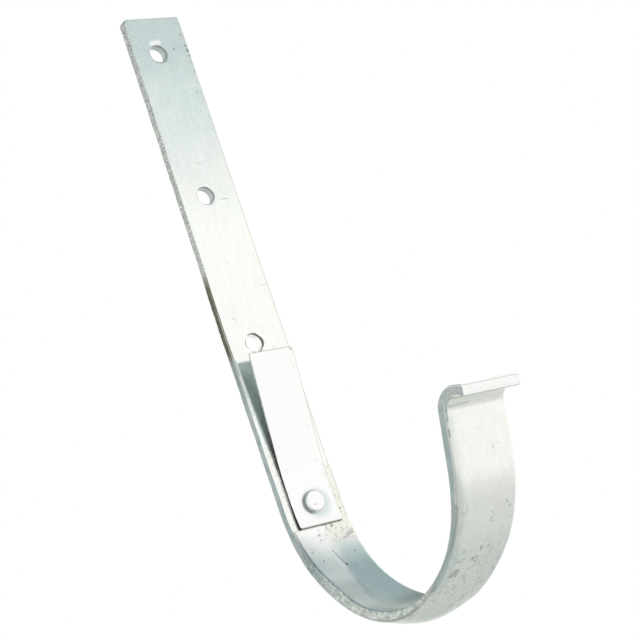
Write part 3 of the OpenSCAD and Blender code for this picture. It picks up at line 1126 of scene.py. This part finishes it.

# %% [markdown]
# ## Marks of use
# Every bracket has lain in a heap with others, and each mark tells a little of that: pits where
# flux burnt, nicks from other brackets, and long scratches inside the hook from the former. A
# pit or nick is painted dark, partly as its own colour and partly as painted shade in a hollow
# that mirrors nothing, and a burnished scratch is painted bright, as a painted highlight. They
# are few enough to be listed one by one.

# %% Marks of the bar
DARK_MARKS = (
    dents(on_front, [
        (13.9, 5.8, 0.45, 0.5), (18.4, 2.0, 0.3, 0.3), (12.7, 11.2, 0.5, 0.5),
        (14.8, 11.7, 0.7, 0.6), (17.2, 11.7, 0.5, 0.5), (24.0, 11.6, 0.5, 0.4),
        (8.0, 10.6, 0.5, 0.3), (33.0, 9.5, 0.35, 0.4), (41.0, 8.6, 0.3, 0.45),
        (212.7, 3.8, 0.4, 0.7), (215.1, -3.0, 0.4, 0.5), (217.2, -3.2, 0.35, 0.6),
        (226.6, -7.5, 0.45, 0.6), (226.2, -5.0, 0.3, 0.5), (224.6, 7.8, 0.4, 0.6),
        (229.9, 0.9, 0.6, 0.9), (247.9, -3.2, 0.45, 0.5), (221.6, -9.6, 0.5, 0.4),
        (238.0, 6.0, 0.3, 0.3), (206.5, 10.4, 0.4, 0.6),
    ])
    + lines(on_front, [
        (126.3, -7.6, 127.6, -5.9, 0.12, 0.3), (124.2, -9.0, 125.0, -8.2, 0.1, 0.2),
        # the line at 78.7 is the painted shadow of the raised scratch at 79.3 among the bright
        # marks
        (78.7, 4.6, 78.7, 7.2, 0.1, 0.4), (222.5, -1.0, 229.9, 0.8, 0.1, 0.75),
        (229.9, 0.8, 245.0, -2.2, 0.07, 0.35), (245.0, -2.2, 256.5, -5.2, 0.07, 0.15),
        (218.4, 6.6, 216.6, 11.4, 0.3, 0.3), (216.9, 8.4, 215.4, 12.0, 0.25, 0.3),
        (219.6, -9.8, 220.4, -7.9, 0.15, 0.3), (212.4, 1.2, 214.8, 2.4, 0.2, 0.25),
        (115.4, 9.0, 115.8, 12.2, 0.1, 0.25),
    ])
    + dents(on_rear, [
        (320.9, 0.2, 0.5, 0.55), (316.8, -1.8, 0.5, 0.6), (317.2, -0.2, 0.4, 0.5),
        (315.5, -0.8, 0.4, 0.55), (313.1, -0.2, 0.4, 0.5), (330.3, 2.8, 0.3, 0.4),
        (305.3, 5.8, 0.35, 0.6), (287.3, 5.5, 0.3, 0.4), (299.5, 2.0, 0.3, 0.4),
        (285.2, 1.8, 0.4, 0.4), (354.6, 4.6, 0.7, 0.15), (355.6, 6.4, 0.4, 0.15),
        (336.0, 8.6, 0.5, 0.35), (334.5, 9.8, 0.5, 0.35), (327.0, 8.0, 0.3, 0.3),
        (333.5, 2.6, 0.35, 0.4), (330.2, 10.6, 0.4, 0.3),
    ])
    + lines(on_rear, [
        (310.8, -8.6, 311.4, -7.6, 0.7, 0.4), (312.6, -7.8, 312.2, -6.6, 0.5, 0.35),
        (310.2, -6.8, 311.0, -6.4, 0.3, 0.3),
        (309.4, -3.6, 306.0, -0.9, 0.25, 0.15), (306.0, -0.9, 304.4, -0.7, 0.2, 0.2),
        (319.6, 0.6, 321.4, 0.9, 0.25, 0.3), (315.6, -2.2, 317.0, -2.6, 0.15, 0.3),
        (338.4, -9.9, 336.0, -10.6, 0.15, 0.2), (336.0, -10.6, 335.2, -9.2, 0.15, 0.25),
        (337.9, -8.6, 335.6, -8.5, 0.15, 0.25), (330.6, 1.8, 331.8, 2.6, 0.15, 0.4),
        (329.0, -11.0, 332.4, -10.0, 0.3, 0.15),
    ])
)
BRIGHT_MARKS = (
    lines(on_front, [
        (79.3, 4.0, 79.2, 7.2, 0.14, 0.9), (115.6, 8.0, 116.0, 12.2, 0.15, 0.4),
        (72.6, -2.6, 72.4, 1.0, 0.3, 0.5),
    ])
    + lines(on_rear, [
        (337.9, -9.6, 336.4, -9.9, 0.35, 0.7), (322.0, -1.0, 321.0, 1.5, 0.5, 0.3),
        (348.0, -9.0, 330.0, -6.0, 0.8, 0.35), (346.0, -1.0, 331.0, 1.0, 0.9, 0.4),
        (341.0, -4.0, 329.0, -3.0, 0.5, 0.3),
    ])
)
print(len(DARK_MARKS), "dark marks and", len(BRIGHT_MARKS), "bright ones on the bar")

# %% [markdown]
# ## The finish of the bar: which steel is which
# The mesh carries a mask that is 1 on sheared steel and 0.5 in a punched hole, so the two are
# told apart first. Shearing also leaves a burr, and that makes some of the rounded edges as
# rough as the side itself: both of them up the stem, and the front one under the hook.

# %% Where the bar was sheared and punched
bar = Finish("galvanised bar")
tree = bar.tree
coat = bar.zinc(Grain_Size=0.0006)
broad = bar.zinc(Patch_Size=0.02, Grain_Size=0.0022)
tear = bar.group(torn_steel, Skin=bar.skin, Vector=bar.place)
side = window(tree, bar.torn, 0.55, 1.0)
wall = maths(tree, "SUBTRACT", window(tree, bar.torn, 0.1, 0.5), side)
side = maths(tree, "MAXIMUM", side, bar.patch(near_edge(-10, 5.0), near_edge(149, 0.8), 0.4))
crept = bar.patch(near_edge(200, 3.0), near_edge(330, 0.5), 0.35)
crept = times(tree, crept, bar.stretch(219, 310, 10.0))
side = maths(tree, "MAXIMUM", side, times(tree, crept, 0.9))
print("the bar's masks take", len(tree.nodes), "nodes")

# %% [markdown]
# ## The finish of the bar: its faces
# Zinc is a metal, so Metallic stays near 1 and the base colour says how much of the room each
# place mirrors. Fresh zinc is a pale, faintly green grey. Painted shade darkens it at the top of
# the stem and under the hook, and only the arm has a warm tint. Inside the hook painted shade
# darkens both halves, the far half in a colder blue than the near one.

# %% Zinc on the faces
face = blend(tree, coat["Patches"], (0.945, 0.975, 0.935), (0.98, 0.985, 0.945))
face = bar.tint(face, broad["Patches"], 0.6, (0.98, 0.98, 0.925))
mottle = maths(tree, "ADD", times(tree, broad["Patches"], 0.5),
               times(tree, coat["Patches"], 0.5))
# painted shade: darker towards the top of the stem, and most of all at its very top
stem_top_shade = bar.stretch(-10, 16, 82.0)
stem_top_shade = times(tree, stem_top_shade, window(tree, mottle, 0.0, 1.0, 1.0, 0.68))
face = bar.tint(face, stem_top_shade, 1, (0.63, 0.745, 0.735))
face = bar.tint(face, bar.stretch(-10, 9, 26.0), 0.7, (0.54, 0.64, 0.63))
# painted shade on the underside of the hook, and a little more along its lower far rim
under = bar.patch(on_rear(255, 12.7), on_rear(320, -12.8), 18)
face = bar.tint(face, under, 0.5, (0.82, 0.885, 0.83))
face = bar.tint(face, bar.patch(on_rear(276, 14), on_rear(316, 8), 6), 0.15,
                (0.72, 0.79, 0.73))
face = bar.tint(face, bar.stretch(335, 376, 14.0), 0.6, (0.99, 1.0, 0.93))
# painted shade inside the hook: the far half, the near half, and both at the lowest point
hook_inside_shade = [
    ((224, 4.0), (285, 14.0), 7, 0.85, (0.74, 0.84, 0.81)),
    ((243, -13.0), (280, -4.0), 8, 0.8, (0.65, 0.695, 0.665)),
    ((264, -6), (288, 14.0), 12, 0.9, (0.33, 0.385, 0.355)),
]
for low, high, blur, amount, paint in hook_inside_shade:
    face = bar.tint(face, bar.patch(on_front(*low), on_front(*high), blur), amount, paint)
print("its faces bring them to", len(tree.nodes))

# %% [markdown]
# Over these colours lie three things that are finer. The frost of the grain takes up to an
# eighth of the brightness, and only half of that lower down the stem, where the bar is
# smooth. Zinc ran down in streaks, so their noise is stretched upwards. And where the front of
# the hook was dragged over the bench, it is scuffed grey.

# %% Frost, streaks and scuffs
calm = maths(tree, "MAXIMUM", bar.stretch(90, 210, 25.0),
             times(tree, bar.stretch(325, 380, 15.0), 0.5))
frost = added(tree, 1.02, (coat["Grain"], added(tree, -0.12, (calm, 0.065))))
running = put(tree, "ShaderNodeMapping", {"Vector": bar.place, "Scale": (1.0, 1.0, 0.25)})
streaks = noise_mask(tree, running.outputs[0], 0.0022, 2.0, 0.5, 0.3, 0.7)
face = scaled(tree, face, added(tree, frost, (streaks, -0.035)))
scuffed = bar.patch(on_rear(283, 10), on_rear(318, -11), 10)
scuffs = times(tree, scuffed, bar.noise(0.0022, 4.0, 0.7, 0.5, 0.7))
face = bar.tint(face, scuffs, 0.75, (0.46, 0.52, 0.49))
face = bar.tint(face, coat["Specks"], 0.3, (0.56, 0.55, 0.46))
print("the frost and the scuffs bring them to", len(tree.nodes))

# %% [markdown]
# ## The finish of the bar: its sheared side
# The side changes along its length, as it does on most such brackets: crumbly along the
# stem, stained brown just above the strap, smooth beside it, chopped by the former where the
# hook starts, thickly crusted at the lowest point, and smooth again up the arm. Each kind
# gets its colours, and then the kinds are laid over each other, from the top down.

# %% The sheared side
crumbly = blend(tree, tear["Crumbs"], (0.26, 0.285, 0.27), (0.80, 0.81, 0.75))
crumbly = bar.tint(crumbly, tear["Stains"], 0.4, (0.30, 0.33, 0.32))
browned = blend(tree, tear["Ridges"], (0.09, 0.082, 0.058), (0.18, 0.165, 0.12))
smooth_side = blend(tree, tear["Stains"], (0.33, 0.40, 0.40), (0.42, 0.49, 0.49))
chopped = blend(tree, tear["Ridges"], (0.22, 0.27, 0.265), (0.44, 0.51, 0.50))
crusted = blend(tree, tear["Crumbs"], (0.33, 0.385, 0.36), (0.75, 0.78, 0.725))
lumps = bar.noise(0.0021, 3.0, 0.7, 0.44, 0.6)
crusted = bar.tint(crusted, 0.5, 1, blend(tree, lumps, (0.31, 0.365, 0.35), (0.84, 0.86, 0.79)))
lip_side = blend(tree, tear["Crumbs"], (0.32, 0.37, 0.355), (0.57, 0.61, 0.58))
side_colour = crumbly
for low, high, blur, amount, paint in (
    (114, 139, 8.0, 1, browned), (147, 234, 6.0, 1, smooth_side),
    (146, 151, 10.0, 0.45, (0.17, 0.21, 0.21)), (222, 240, 4.0, 1, chopped),
    (240, 292, 10.0, 1, crusted), (306, 369, 5.0, 1, smooth_side), (375, 390, 3.0, 1, lip_side),
):
    side_colour = bar.tint(side_colour, bar.stretch(low, high, blur), amount, paint)
print("the side brings them to", len(tree.nodes))

# %% [markdown]
# The lip ends in a cut of its own, made last with a sharp blade. It is the cleanest place on
# the bracket, nearly white, and a thin grey line runs along two of its edges. The clean
# cut also takes in the far corner of the lip.

# %% The clean cut of the lip
cut_end = maths(tree, "MAXIMUM", bar.patch(at(379, -12.6), at(400, 12.6), 0.5),
                bar.patch(on_front(381.5, 11.7), on_front(400, 17.7), 0.5))
clean_cut = blend(tree, tear["Ridges"], (0.92, 0.935, 0.90), (1.0, 1.0, 0.99))
side_colour = bar.tint(side_colour, cut_end, 1, clean_cut)
lip_line = bar.marks([
    (at(382.7, -11.6), at(382.7, 11.6), 0.1, 0.35, 0.6),
    (at(383.0, 12.1), at(386.0, 12.1), 0.1, 0.35, 0.5),
])
side_colour = bar.tint(side_colour, lip_line, cut_end, (0.52, 0.55, 0.50))
colour = blend(tree, side, face, side_colour)
print("the lip brings them to", len(tree.nodes))

# %% [markdown]
# ## The finish of the bar: its holes
# The walls of the punched holes get painted shade: grey in the upper two, and dark towards the
# front rim. The lowest one is clean inside, with a brown rim where the stain of the side has
# crept in.

# %% Walls of the holes
# painted shade inside the holes, darkest towards the front rim
colour = bar.tint(colour, wall, 0.85, (0.44, 0.49, 0.47))
rim_shade = times(tree, wall, bar.patch(at(0, -2.2), at(100, -1.4), 1.0))
colour = bar.tint(colour, rim_shade, 0.7, (0.15, 0.17, 0.155))
colour = bar.tint(colour, wall, bar.stretch(124, 150, 1.0), (0.98, 1.0, 0.96))
brown_rim = bar.patch(at(124, -2.2), at(150, -1.0), 0.6)
colour = bar.tint(colour, wall, brown_rim, (0.11, 0.105, 0.08))
print("the holes bring them to", len(tree.nodes))

# %% [markdown]
# ## The finish of the bar: crust and stains
# Zinc drips off the strap's edges and freezes on the bar below it as a pale beige crust. The
# far edge is pitted at the top of the stem, and the near edge beside the strap is flecked. The
# strip of bar that lies open beside the strap mirrors the strap's dark back, and that is painted
# on as a painted reflection in cold dark blue, darkest where it starts.

# %% Crust, flecks and the strip beside the strap
crust = bar.patch(on_front(190, 9.6), on_front(216, 14.0), 2.5)
below = bar.patch(on_front(210, -3.0), on_front(218, 12.0), 3.0)
pitted = bar.patch(on_front(2, 10.9), on_front(46, 13.0), 0.8)
crumbs = bar.noise(0.0014, 3.0, 0.65, 0.48, 0.72)
crusty = maths(tree, "MAXIMUM", crust, below)
crust = times(tree, crusty, crumbs)
pitted = times(tree, pitted, bar.noise(0.0018, 3.0, 0.6, 0.45, 0.75))
colour = bar.tint(colour, crusty, 0.6, (0.88, 0.86, 0.78))
colour = bar.tint(colour, crust, 0.7, (0.58, 0.53, 0.42))
colour = bar.tint(colour, pitted, 0.45, (0.44, 0.46, 0.41))
flecked = bar.patch(on_front(168, -13.0), on_front(213, -11.0), 0.8)
flecks = times(tree, flecked, bar.noise(0.0012, 3.0, 0.7, 0.54, 0.66))
colour = bar.tint(colour, flecks, 0.55, (0.46, 0.46, 0.40))
# painted reflection of the strap's dark back on the open strip, darkest where it starts
strip = bar.patch(on_front(144.8, -11.0), on_front(200, -4.0), 1.3)
strip = times(tree, strip, bar.stretch(100, 170, 12.0))
colour = bar.tint(colour, strip, 0.8, (0.62, 0.76, 0.76))
start = times(tree, strip, bar.stretch(100, 149, 12.0))
colour = bar.tint(colour, start, 0.8, (0.40, 0.48, 0.47))
# a thin beige line where the far edge was never wetted well
edge_line = bar.patch(on_front(-5, 11.75), on_front(210, 12.5), 0.25)
colour = bar.tint(colour, edge_line, 0.55, (0.62, 0.60, 0.49))
print("the crust and the stains bring them to", len(tree.nodes))

# %% [markdown]
# ## The finish of the bar: shade along its edges
# Where two pieces meet, or an edge was hammered over, shade gathers in a thin line. Lights
# alone don't draw these lines in a white room, so they are painted shade: coats of dark paint,
# a few tenths of a millimetre wide and soft at their borders.

# %% Shade lines
shade_lines = [
    # painted shadow beside the strap's sheared edge, darker towards its foot
    ((0.06, 0.075, 0.073), [
        (on_front(168, -9.6), on_front(190, -10.0), 0.3, 0.9, 0.25),
        (on_front(184, -9.9), on_front(198, -9.9), 0.3, 0.9, 0.5),
        (on_front(192, -9.9), on_front(211, -9.8), 0.3, 0.9, 0.78),
    ]),
    # painted shade on the near edge below the brown stain, which dims its highlight before it turns
    # bright
    ((0.40, 0.46, 0.44), [
        (near_edge(144, 0.5), near_edge(157, 0.5), 0.9, 0.8, 0.6),
        (near_edge(157, 0.5), near_edge(164, 0.5), 0.9, 0.8, 0.35),
        (on_front(145, -11.7), on_front(156, -11.7), 0.3, 1.0, 0.55),
        (on_front(156, -11.7), on_front(163, -11.7), 0.3, 1.0, 0.3),
    ]),
    # painted shade along the arm's hammered edge, and in three creases inside the bend of the lip
    ((0.36, 0.43, 0.42), [
        (on_rear(303, -12.4), on_rear(366, -12.4), 0.3, 4.5, 0.30),
        (on_rear(303, -12.4), on_rear(338, -12.4), 0.3, 1.3, 0.65),
        (on_rear(366, -12.4), on_rear(378, -12.4), 0.3, 1.0, 0.6),
        (on_rear(366, -12.0), on_rear(370, -12.0), 0.15, 0.5, 0.95),
        (on_rear(361, -12.0), on_rear(363, -12.0), 0.15, 0.5, 0.95),
        (on_rear(384.0, -12.4), on_rear(384.0, 11.0), 0.5, 1.6, 0.7),
        (on_rear(376.2, -12.4), on_rear(377.0, -1.0), 0.1, 1.2, 0.4),
        (on_rear(371.0, -12.4), on_rear(371.8, -3.0), 0.1, 1.0, 0.35),
    ]),
    # painted shade along the hook's two near edges, where they were hammered over
    ((0.20, 0.24, 0.235), [
        (on_rear(222, -12.4), on_rear(292, -12.4), 0.15, 0.5, 0.65),
        (on_rear(292, -12.4), on_rear(306, -12.4), 0.1, 0.5, 0.35),
        (on_rear(322, -12.4), on_rear(366, -12.4), 0.1, 0.6, 0.4),
        (near_edge(212, 0.8), near_edge(228, 0.8), 0.5, 0.5, 0.4),
    ]),
]
print(len(shade_lines), "sets of shade lines")

# %% [markdown]
# The paint goes on set by set. The top end of the stem is shaded too, and so are the rims of
# the three screw holes, which are just wider than the holes and so show as thin rings.

# %% Paint the shade lines
for paint, edges in shade_lines:
    colour = bar.tint(colour, bar.marks(edges), 1, paint)
colour = bar.tint(colour, bar.patch(on_front(-1, -13), on_front(0.3, 13), 0.25), 0.5,
                  (0.36, 0.40, 0.39))
hole_middles = [on_front(hole["middle"] / MM, hole["side"] / MM) for hole in screw_holes]
rims = bar.marks([
    (middle, middle, SCREW_RADIUS / MM + 0.12, 0.22, strength)
    for middle, strength in zip(hole_middles, (0.55, 0.45, 0.9))
])
colour = bar.tint(colour, rims, 1, (0.24, 0.22, 0.17))
print("the shade lines bring them to", len(tree.nodes))

# %% [markdown]
# ## The finish of the bar: marks and bump
# A painted highlight stands for the light that pools in the hollow left of the fold and on the
# swollen rim above the top hole. Then the listed marks go on. The roughness and the bump use
# the same masks as the colour, so that a crust is pale, dull and raised in the same place.
#
# Seen edge on, any metal mirrors everything. On the underside the specular tint is lowered, as
# painted shade in that reflection. The open strip is a little less like a mirror too.

# %% Marks, roughness and bump of the bar
# painted highlight where light pools in the hollow and on the swollen rim
painted_pool = bar.marks([
    (on_front(214, -3.5), on_front(222, -2.6), 1.0, 6.5, 0.95),
    (on_front(11.0, -3.4), on_front(10.6, 0.2), 0.1, 1.7, 0.75),
    (on_front(223, -1.9), on_front(230.5, -0.9), 0.3, 1.8, 0.9),
])
colour = bar.tint(colour, painted_pool, 1, (1.0, 1.0, 0.98))
dark, bright = bar.marks(DARK_MARKS), bar.marks(BRIGHT_MARKS)
colour = bar.tint(colour, bright, 1, (0.98, 0.99, 0.96))
colour = bar.tint(colour, dark, 1, (0.16, 0.18, 0.165))
# painted shade in the underside's edge-on reflection
edge_on = blend(tree, under, (1, 1, 1), (0.74, 0.77, 0.75))
metallic = added(tree, 1.0, (strip, -0.3))
rough = added(tree, 0.19, (coat["Patches"], 0.06), (bar.torn, 0.22), (cut_end, -0.22),
              (maths(tree, "MAXIMUM", crust, dark), 0.3))
height = times(tree, coat["Grain"], 0.03)
crumb_height = maths(tree, "ADD", tear["Ridges"], tear["Crumbs"])
crumbled = added(tree, times(tree, side, 0.6), (cut_end, -0.5))
height = added(tree, height, (crumb_height, crumbled), (crust, 0.8), (dark, -1.2), (bright, 0.5))
bar.finish(hook_bar, (height, 0.7, 0.00008), Base_Color=colour, Specular_Tint=edge_on,
           Metallic=metallic, Roughness=rough)

# %% [markdown]
# ## The finish of the strap
# The strap is cut from bright sheet. Its sheared edges are painted nearly black, apart from the
# first centimetres at the top: partly for the bare steel, where no zinc runs over them, and
# partly as painted shade in the gap beside them. A thin brown line follows them on the face.
# Round the rivet's head a soft blue-grey shadow is painted on the sheet, with a thin ring of
# painted shade at the head's rim.

# %% Finish of the strap
STRAP_FACE = STRAP_WIDTH - 2 * STRAP_ROUND


def on_strap(along, across):
    """Place on the strap's front face, from millimetres along and from its middle."""
    return (along * MM, across * MM + STRAP_FACE / 2, 0.0)


sheet = Finish("galvanised sheet")
tree = sheet.tree
coat = sheet.zinc(Patch_Size=0.009, Speck_Size=0.0014)
face = blend(tree, coat["Patches"], (0.965, 0.975, 0.955), (0.98, 0.985, 0.97))
face = sheet.tint(face, coat["Specks"], 0.2, (0.66, 0.63, 0.52))
# brown lines along the far edge, the top and the foot
for low, high, blur, amount, paint in (
    ((0.0, STRAP_FACE - 0.16 * MM, 0.0), (1.0, STRAP_FACE + 0.2 * MM, 0.0), 0.15, 0.6,
     (0.58, 0.55, 0.44)),
    (at(-1, -1), at(0.22, 22), 0.15, 0.7, (0.38, 0.36, 0.30)),
    ((strap_ends[-1] - 0.25 * MM, -0.001, 0.0), (1.0, 0.022, 0.0), 0.2, 0.5,
     (0.30, 0.29, 0.25)),
):
    face = sheet.tint(face, sheet.patch(low, high, blur), amount, paint)
rivet_along = strap_rivet / MM
# painted shadow of the rivet's head, offset to one side, and a thin painted ring of shade round its
# rim
rivet_shadow = sheet.marks([
    (on_strap(rivet_along + 0.8, 1.3), on_strap(rivet_along + 0.8, 1.3), 3.9, 3.4, 0.7),
    (on_strap(rivet_along, 0.0), on_strap(rivet_along, 0.0), 4.35, 0.6, 0.6),
])
face = sheet.tint(face, rivet_shadow, 1, (0.60, 0.69, 0.71))
stained = sheet.marks(dents(on_strap, [
    (1.0, 8.6, 0.5, 0.8), (7.5, 8.2, 0.9, 0.1), (5.4, 7.6, 0.4, 0.2), (31.0, 7.2, 0.6, 0.12),
    (46.0, -7.6, 1.4, 0.06), (44.0, 6.8, 1.0, 0.08), (50.0, 8.6, 0.8, 0.15),
    (46.0, 8.9, 0.5, 0.15), (55.0, 8.9, 0.6, 0.15), (36.0, -8.2, 0.3, 0.15),
]))
face = sheet.tint(face, stained, 1, (0.42, 0.38, 0.30))
upper = sheet.stretch(1.5, 22, 14.0)
# the sheared edges: nearly black for bare steel and as painted shade of the gap beside them, paler
# at the top
bare_edge_and_gap_shade = blend(tree, upper, (0.075, 0.08, 0.08), (0.50, 0.55, 0.53))
sheet.finish(
    strap, (added(tree, coat["Grain"], (stained, -1.0)), 0.25, 0.00001), Metallic=1.0,
    Base_Color=blend(tree, sheet.torn, face, bare_edge_and_gap_shade),
    Roughness=added(tree, 0.24, (coat["Patches"], 0.06)),
)

# %% [markdown]
# ## The finish of the rivet
# The hammer left a faint ring just inside the head's rim and two small pecks beside its middle.
# The rim itself is painted dark on its near side, as a painted reflection of the strap, and
# bright on its far side.

# %% Finish of the rivet
head_finish = Finish("galvanised rivet")
tree = head_finish.tree
coat = head_finish.zinc(Patch_Size=0.003, Grain_Size=0.0005)
axis = (BAR_MIDDLE, RIVET_HEIGHT, 0.0)
face = blend(tree, coat["Patches"], (0.965, 0.97, 0.955), (1.0, 1.0, 0.99))
wide, narrow = (head_finish.marks([(axis, axis, size, 0.15, 1.0)]) for size in (3.85, 3.55))
ring = maths(tree, "SUBTRACT", wide, narrow)
face = head_finish.tint(face, ring, 0.6, (0.42, 0.46, 0.46))


def beside_axis(across, up):
    """Place on the rivet's head, from millimetres beside and above its axis."""
    return (BAR_MIDDLE + across * MM, RIVET_HEIGHT + up * MM, 0.0)


pecks = head_finish.marks([
    (beside_axis(-1.2, -1.3), beside_axis(-1.2, -1.3), 0.15, 0.3, 0.6),
    (beside_axis(-0.5, -1.6), beside_axis(-0.3, -1.3), 0.1, 0.3, 0.4),
])
face = head_finish.tint(face, pecks, 1, (0.45, 0.36, 0.33))
beside = put(tree, "ShaderNodeSeparateXYZ", {0: head_finish.place}).outputs["Y"]
# painted reflection: the rim is painted dark on its near side, where it mirrors the strap
rim = window(tree, beside, BAR_MIDDLE - 3.9 * MM, BAR_MIDDLE - 0.9 * MM)
rim_colour = blend(tree, rim, (0.29, 0.32, 0.32), (0.90, 0.93, 0.91))
head_finish.finish(
    rivet, (coat["Grain"], 0.5, 0.00003), Metallic=1.0,
    Base_Color=blend(tree, head_finish.torn, face, rim_colour),
    Roughness=added(tree, 0.28, (coat["Patches"], 0.08)),
)

# %% [markdown]
# ## Floor
# The bracket hangs over a plain pale floor. Close to the bracket it is an ordinary floor and
# keeps the shadow. Further out it turns pure white for the camera, so that it runs into the
# background with no horizon.

# %% Floor
FLOOR_REACH, FLOOR_HEIGHT = 4.0, -0.40
FADE_START, FADE_END = 0.25, 0.75
floor_mesh = bpy.data.meshes.new("floor")
floor_mesh.from_pydata(
    [(x * FLOOR_REACH, y * FLOOR_REACH, FLOOR_HEIGHT)
     for x, y in ((-1, -1), (1, -1), (1, 1), (-1, 1))], [], [(0, 1, 2, 3)])
floor = bpy.data.objects.new("floor", floor_mesh)
bpy.context.scene.collection.objects.link(floor)
floor_finish = bpy.data.materials.new("pale floor")
floor_finish.use_nodes = True
tree = floor_finish.node_tree
shader = tree.nodes["Principled BSDF"]
shader.inputs["Base Color"].default_value = (0.74, 0.76, 0.755, 1)
shader.inputs["Roughness"].default_value = 0.9
shader.inputs["Specular IOR Level"].default_value = 0.1


def seen_by_camera(tree, rays, others):
    """1 for what the camera sees, by itself or by the other kinds of ray that are named."""
    seen = rays["Is Camera Ray"]
    for other in others:
        seen = maths(tree, "MAXIMUM", seen, rays[other])
    return seen


rays = put(tree, "ShaderNodeLightPath").outputs
seen = seen_by_camera(tree, rays, ("Is Transmission Ray", "Is Glossy Ray"))
place = put(tree, "ShaderNodeTexCoord").outputs["Object"]
distance = vectors(tree, "DISTANCE", place, (0.06, 0.0, FLOOR_HEIGHT)).outputs["Value"]
far = times(tree, window(tree, distance, FADE_START, FADE_END), seen)
white = put(tree, "ShaderNodeEmission", {"Color": (1, 1, 1, 1), "Strength": 1.0})
mixed = put(tree, "ShaderNodeMixShader", {0: far, 1: shader.outputs[0], 2: white.outputs[0]})
tree.links.new(mixed.outputs[0], tree.nodes["Material Output"].inputs["Surface"])
floor_mesh.materials.append(floor_finish)
print("the floor lies", -FLOOR_HEIGHT, "m below the middle screw hole")

# %% [markdown]
# ## The room
# Metal shows the room, so the room is worth a thought. It is white all round up to head height,
# and well above that the ceiling turns a cool grey. Surfaces that lean back show the ceiling
# and look darker, and that is what tells the eye how the hook bends. On dull things, such as
# the floor, the room's light is plain and even. For the camera the room is pure white.

# %% World
# the sine of the height above the horizon where the ceiling starts, and where it is full
CEILING_START, CEILING_FULL = 0.46, 0.79
world = bpy.data.worlds.new("studio")
bpy.context.scene.world = world
world.use_nodes = True
tree = world.node_tree
tree.nodes.clear()
rays = put(tree, "ShaderNodeLightPath").outputs
seen = seen_by_camera(tree, rays, ("Is Transmission Ray",))
direction = put(tree, "ShaderNodeTexCoord").outputs["Generated"]
height = put(tree, "ShaderNodeSeparateXYZ", {0: direction}).outputs["Z"]
ceiling = window(tree, height, CEILING_START, CEILING_FULL, kind="LINEAR")
mirrored = blend(tree, ceiling, (1.04, 1.04, 1.04), (0.39, 0.47, 0.50))
room = blend(tree, rays["Is Glossy Ray"], (0.80, 0.80, 0.80), mirrored)
room = blend(tree, seen, room, (1, 1, 1))
light = put(tree, "ShaderNodeBackground", {"Color": room, "Strength": 1.0})
tree.links.new(light.outputs[0], put(tree, "ShaderNodeOutputWorld").inputs["Surface"])
print("the ceiling starts", round(float(np.degrees(np.arcsin(CEILING_START)))), "degrees up")

# %% [markdown]
# ## The softbox
# One weak softbox from above the far side gives the floor its shadow. It isn't mirrored in the
# metal, where its outline would show as a hard white shape.

# %% Softbox
SOFTBOX_PLACE, SOFTBOX_TARGET = np.array([0.35, 0.45, 0.9]), np.array([0.06, 0.0, -0.1])
lamp = bpy.data.lights.new("overhead softbox", "AREA")
lamp.size, lamp.energy = 1.0, 3.0
back = SOFTBOX_PLACE - SOFTBOX_TARGET
back = back / np.linalg.norm(back)
right = np.cross((0, 1, 0), back)
right = right / np.linalg.norm(right)
softbox = bpy.data.objects.new("overhead softbox", lamp)
softbox.matrix_world = placed(SOFTBOX_PLACE, right, np.cross(back, right), back).T.tolist()
softbox.visible_glossy = False
bpy.context.scene.collection.objects.link(softbox)
print("the softbox gives", lamp.energy, "W over", lamp.size, "m")
